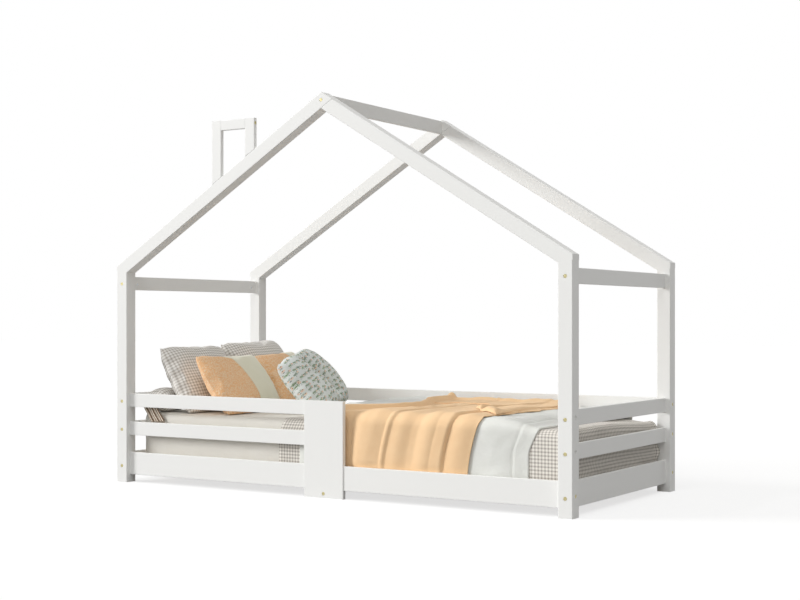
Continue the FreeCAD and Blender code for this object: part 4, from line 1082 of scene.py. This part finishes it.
THREADS, THREAD_SIDES, THREAD_LONG = 26, 6, 14 * MM
bpy.ops.mesh.primitive_cylinder_add(vertices=THREAD_SIDES, radius=0.7 * MM, depth=THREAD_LONG)
fringe = bpy.context.object
fringe.name = fringe.data.name = "striped_cloth_fringe"
apply_modifier(fringe, "ARRAY", count=THREADS, use_relative_offset=False, use_constant_offset=True,
               constant_offset_displace=(2.9 * MM, 0, 0.15 * MM))
edge = strip_place(Vector((STRIP_LONG, 0, 0)))
for number, vertex in enumerate(fringe.data.vertices):
    strand = number // (2 * THREAD_SIDES)
    hang = 0.5 - vertex.co.z / THREAD_LONG
    pleat = -2 * MM * math.sin(strand * 0.58)
    vertex.co += edge + Vector((1.5 * MM + hang * 4 * MM * math.sin(strand * 2.1),
                                pleat + hang * 1.5 * MM * math.cos(strand * 3.3), -6 * MM))
fringe.data.update()
hand_in(fringe, STRIPED, "striped_cotton")

# %% [markdown]
# ## Floor and light
# The bed stands in a plain white studio. The floor takes the bed's shadow, and for the camera it also glows a
# little, so that it meets the white backdrop without a line. A large softbox at the left lights the long
# side, so the foot end, which faces away from it, stays grey. A wide fill from above softens its shadows.

# %% What the camera sees directly
WHITE = (1, 1, 1, 1)


def looked_at(tree):
    """1 for what the camera, a gloss or a view through glass sees, and 0 for light that falls on the bed."""
    ray = add(tree, "LightPath")
    share = ray.outputs["Is Camera Ray"]
    for kind in ("Is Glossy Ray", "Is Transmission Ray"):
        share = add(tree, "Math", {0: share, 1: ray.outputs[kind]}, operation="MAXIMUM").outputs[0]
    return share


# %% The floor
FLOOR_SHADE = 0.36  # how strongly the floor shows light and shadow to the camera
FLOOR_GLOW = 0.70  # what it glows with for the camera
bpy.ops.mesh.primitive_plane_add(size=60)
floor = bpy.context.object
floor.name = floor.data.name = "studio_floor"
floor_paper = bpy.data.materials.new("white studio paper")
floor_paper.use_nodes = True
tree = floor_paper.node_tree
tree.nodes.clear()
paper = add(tree, "BsdfDiffuse", {"Color": linear("#A6A6A6")})
shaded = add(tree, "BsdfDiffuse", {"Color": (FLOOR_SHADE, FLOOR_SHADE, FLOOR_SHADE, 1)})
glow = add(tree, "Emission", {"Color": WHITE, "Strength": FLOOR_GLOW})
bright = add(tree, "AddShader", {0: shaded.outputs[0], 1: glow.outputs[0]})
both = add(tree, "MixShader", {0: looked_at(tree), 1: paper.outputs[0], 2: bright.outputs[0]})
add(tree, "OutputMaterial", {"Surface": both.outputs[0]})
floor.data.materials.append(floor_paper)

# %% The backdrop and the lamps
AMBIENT = 0.37  # strength of the light from all round
world = bpy.data.worlds.new("white studio")
bpy.context.scene.world = world
world.use_nodes = True
tree = world.node_tree
tree.nodes.clear()
ambient = add(tree, "Background", {"Color": (1.0, 0.985, 0.955, 1), "Strength": AMBIENT})
backdrop = add(tree, "Background", {"Color": WHITE, "Strength": 1.0})
both = add(tree, "MixShader", {0: looked_at(tree), 1: ambient.outputs[0], 2: backdrop.outputs[0]})
add(tree, "OutputWorld", {"Surface": both.outputs[0]})


def soft_sun(name, towards, strength, spread):
    """Even light that shines towards a direction, as from a large far softbox spread degrees wide."""
    turn = (-Vector(towards)).to_track_quat("Z", "Y").to_euler()
    bpy.ops.object.light_add(type="SUN", location=(-4, -6, 5), rotation=turn)
    lamp = bpy.context.object
    lamp.name = lamp.data.name = name
    lamp.data.energy, lamp.data.angle = strength, math.radians(spread)


soft_sun("left_softbox", (0.80, 0.52, -0.30), 2.5, 22)
soft_sun("upper_fill", (-0.25, 0.45, -0.857), 0.95, 50)
bpy.context.scene.view_settings.view_transform = "Standard"
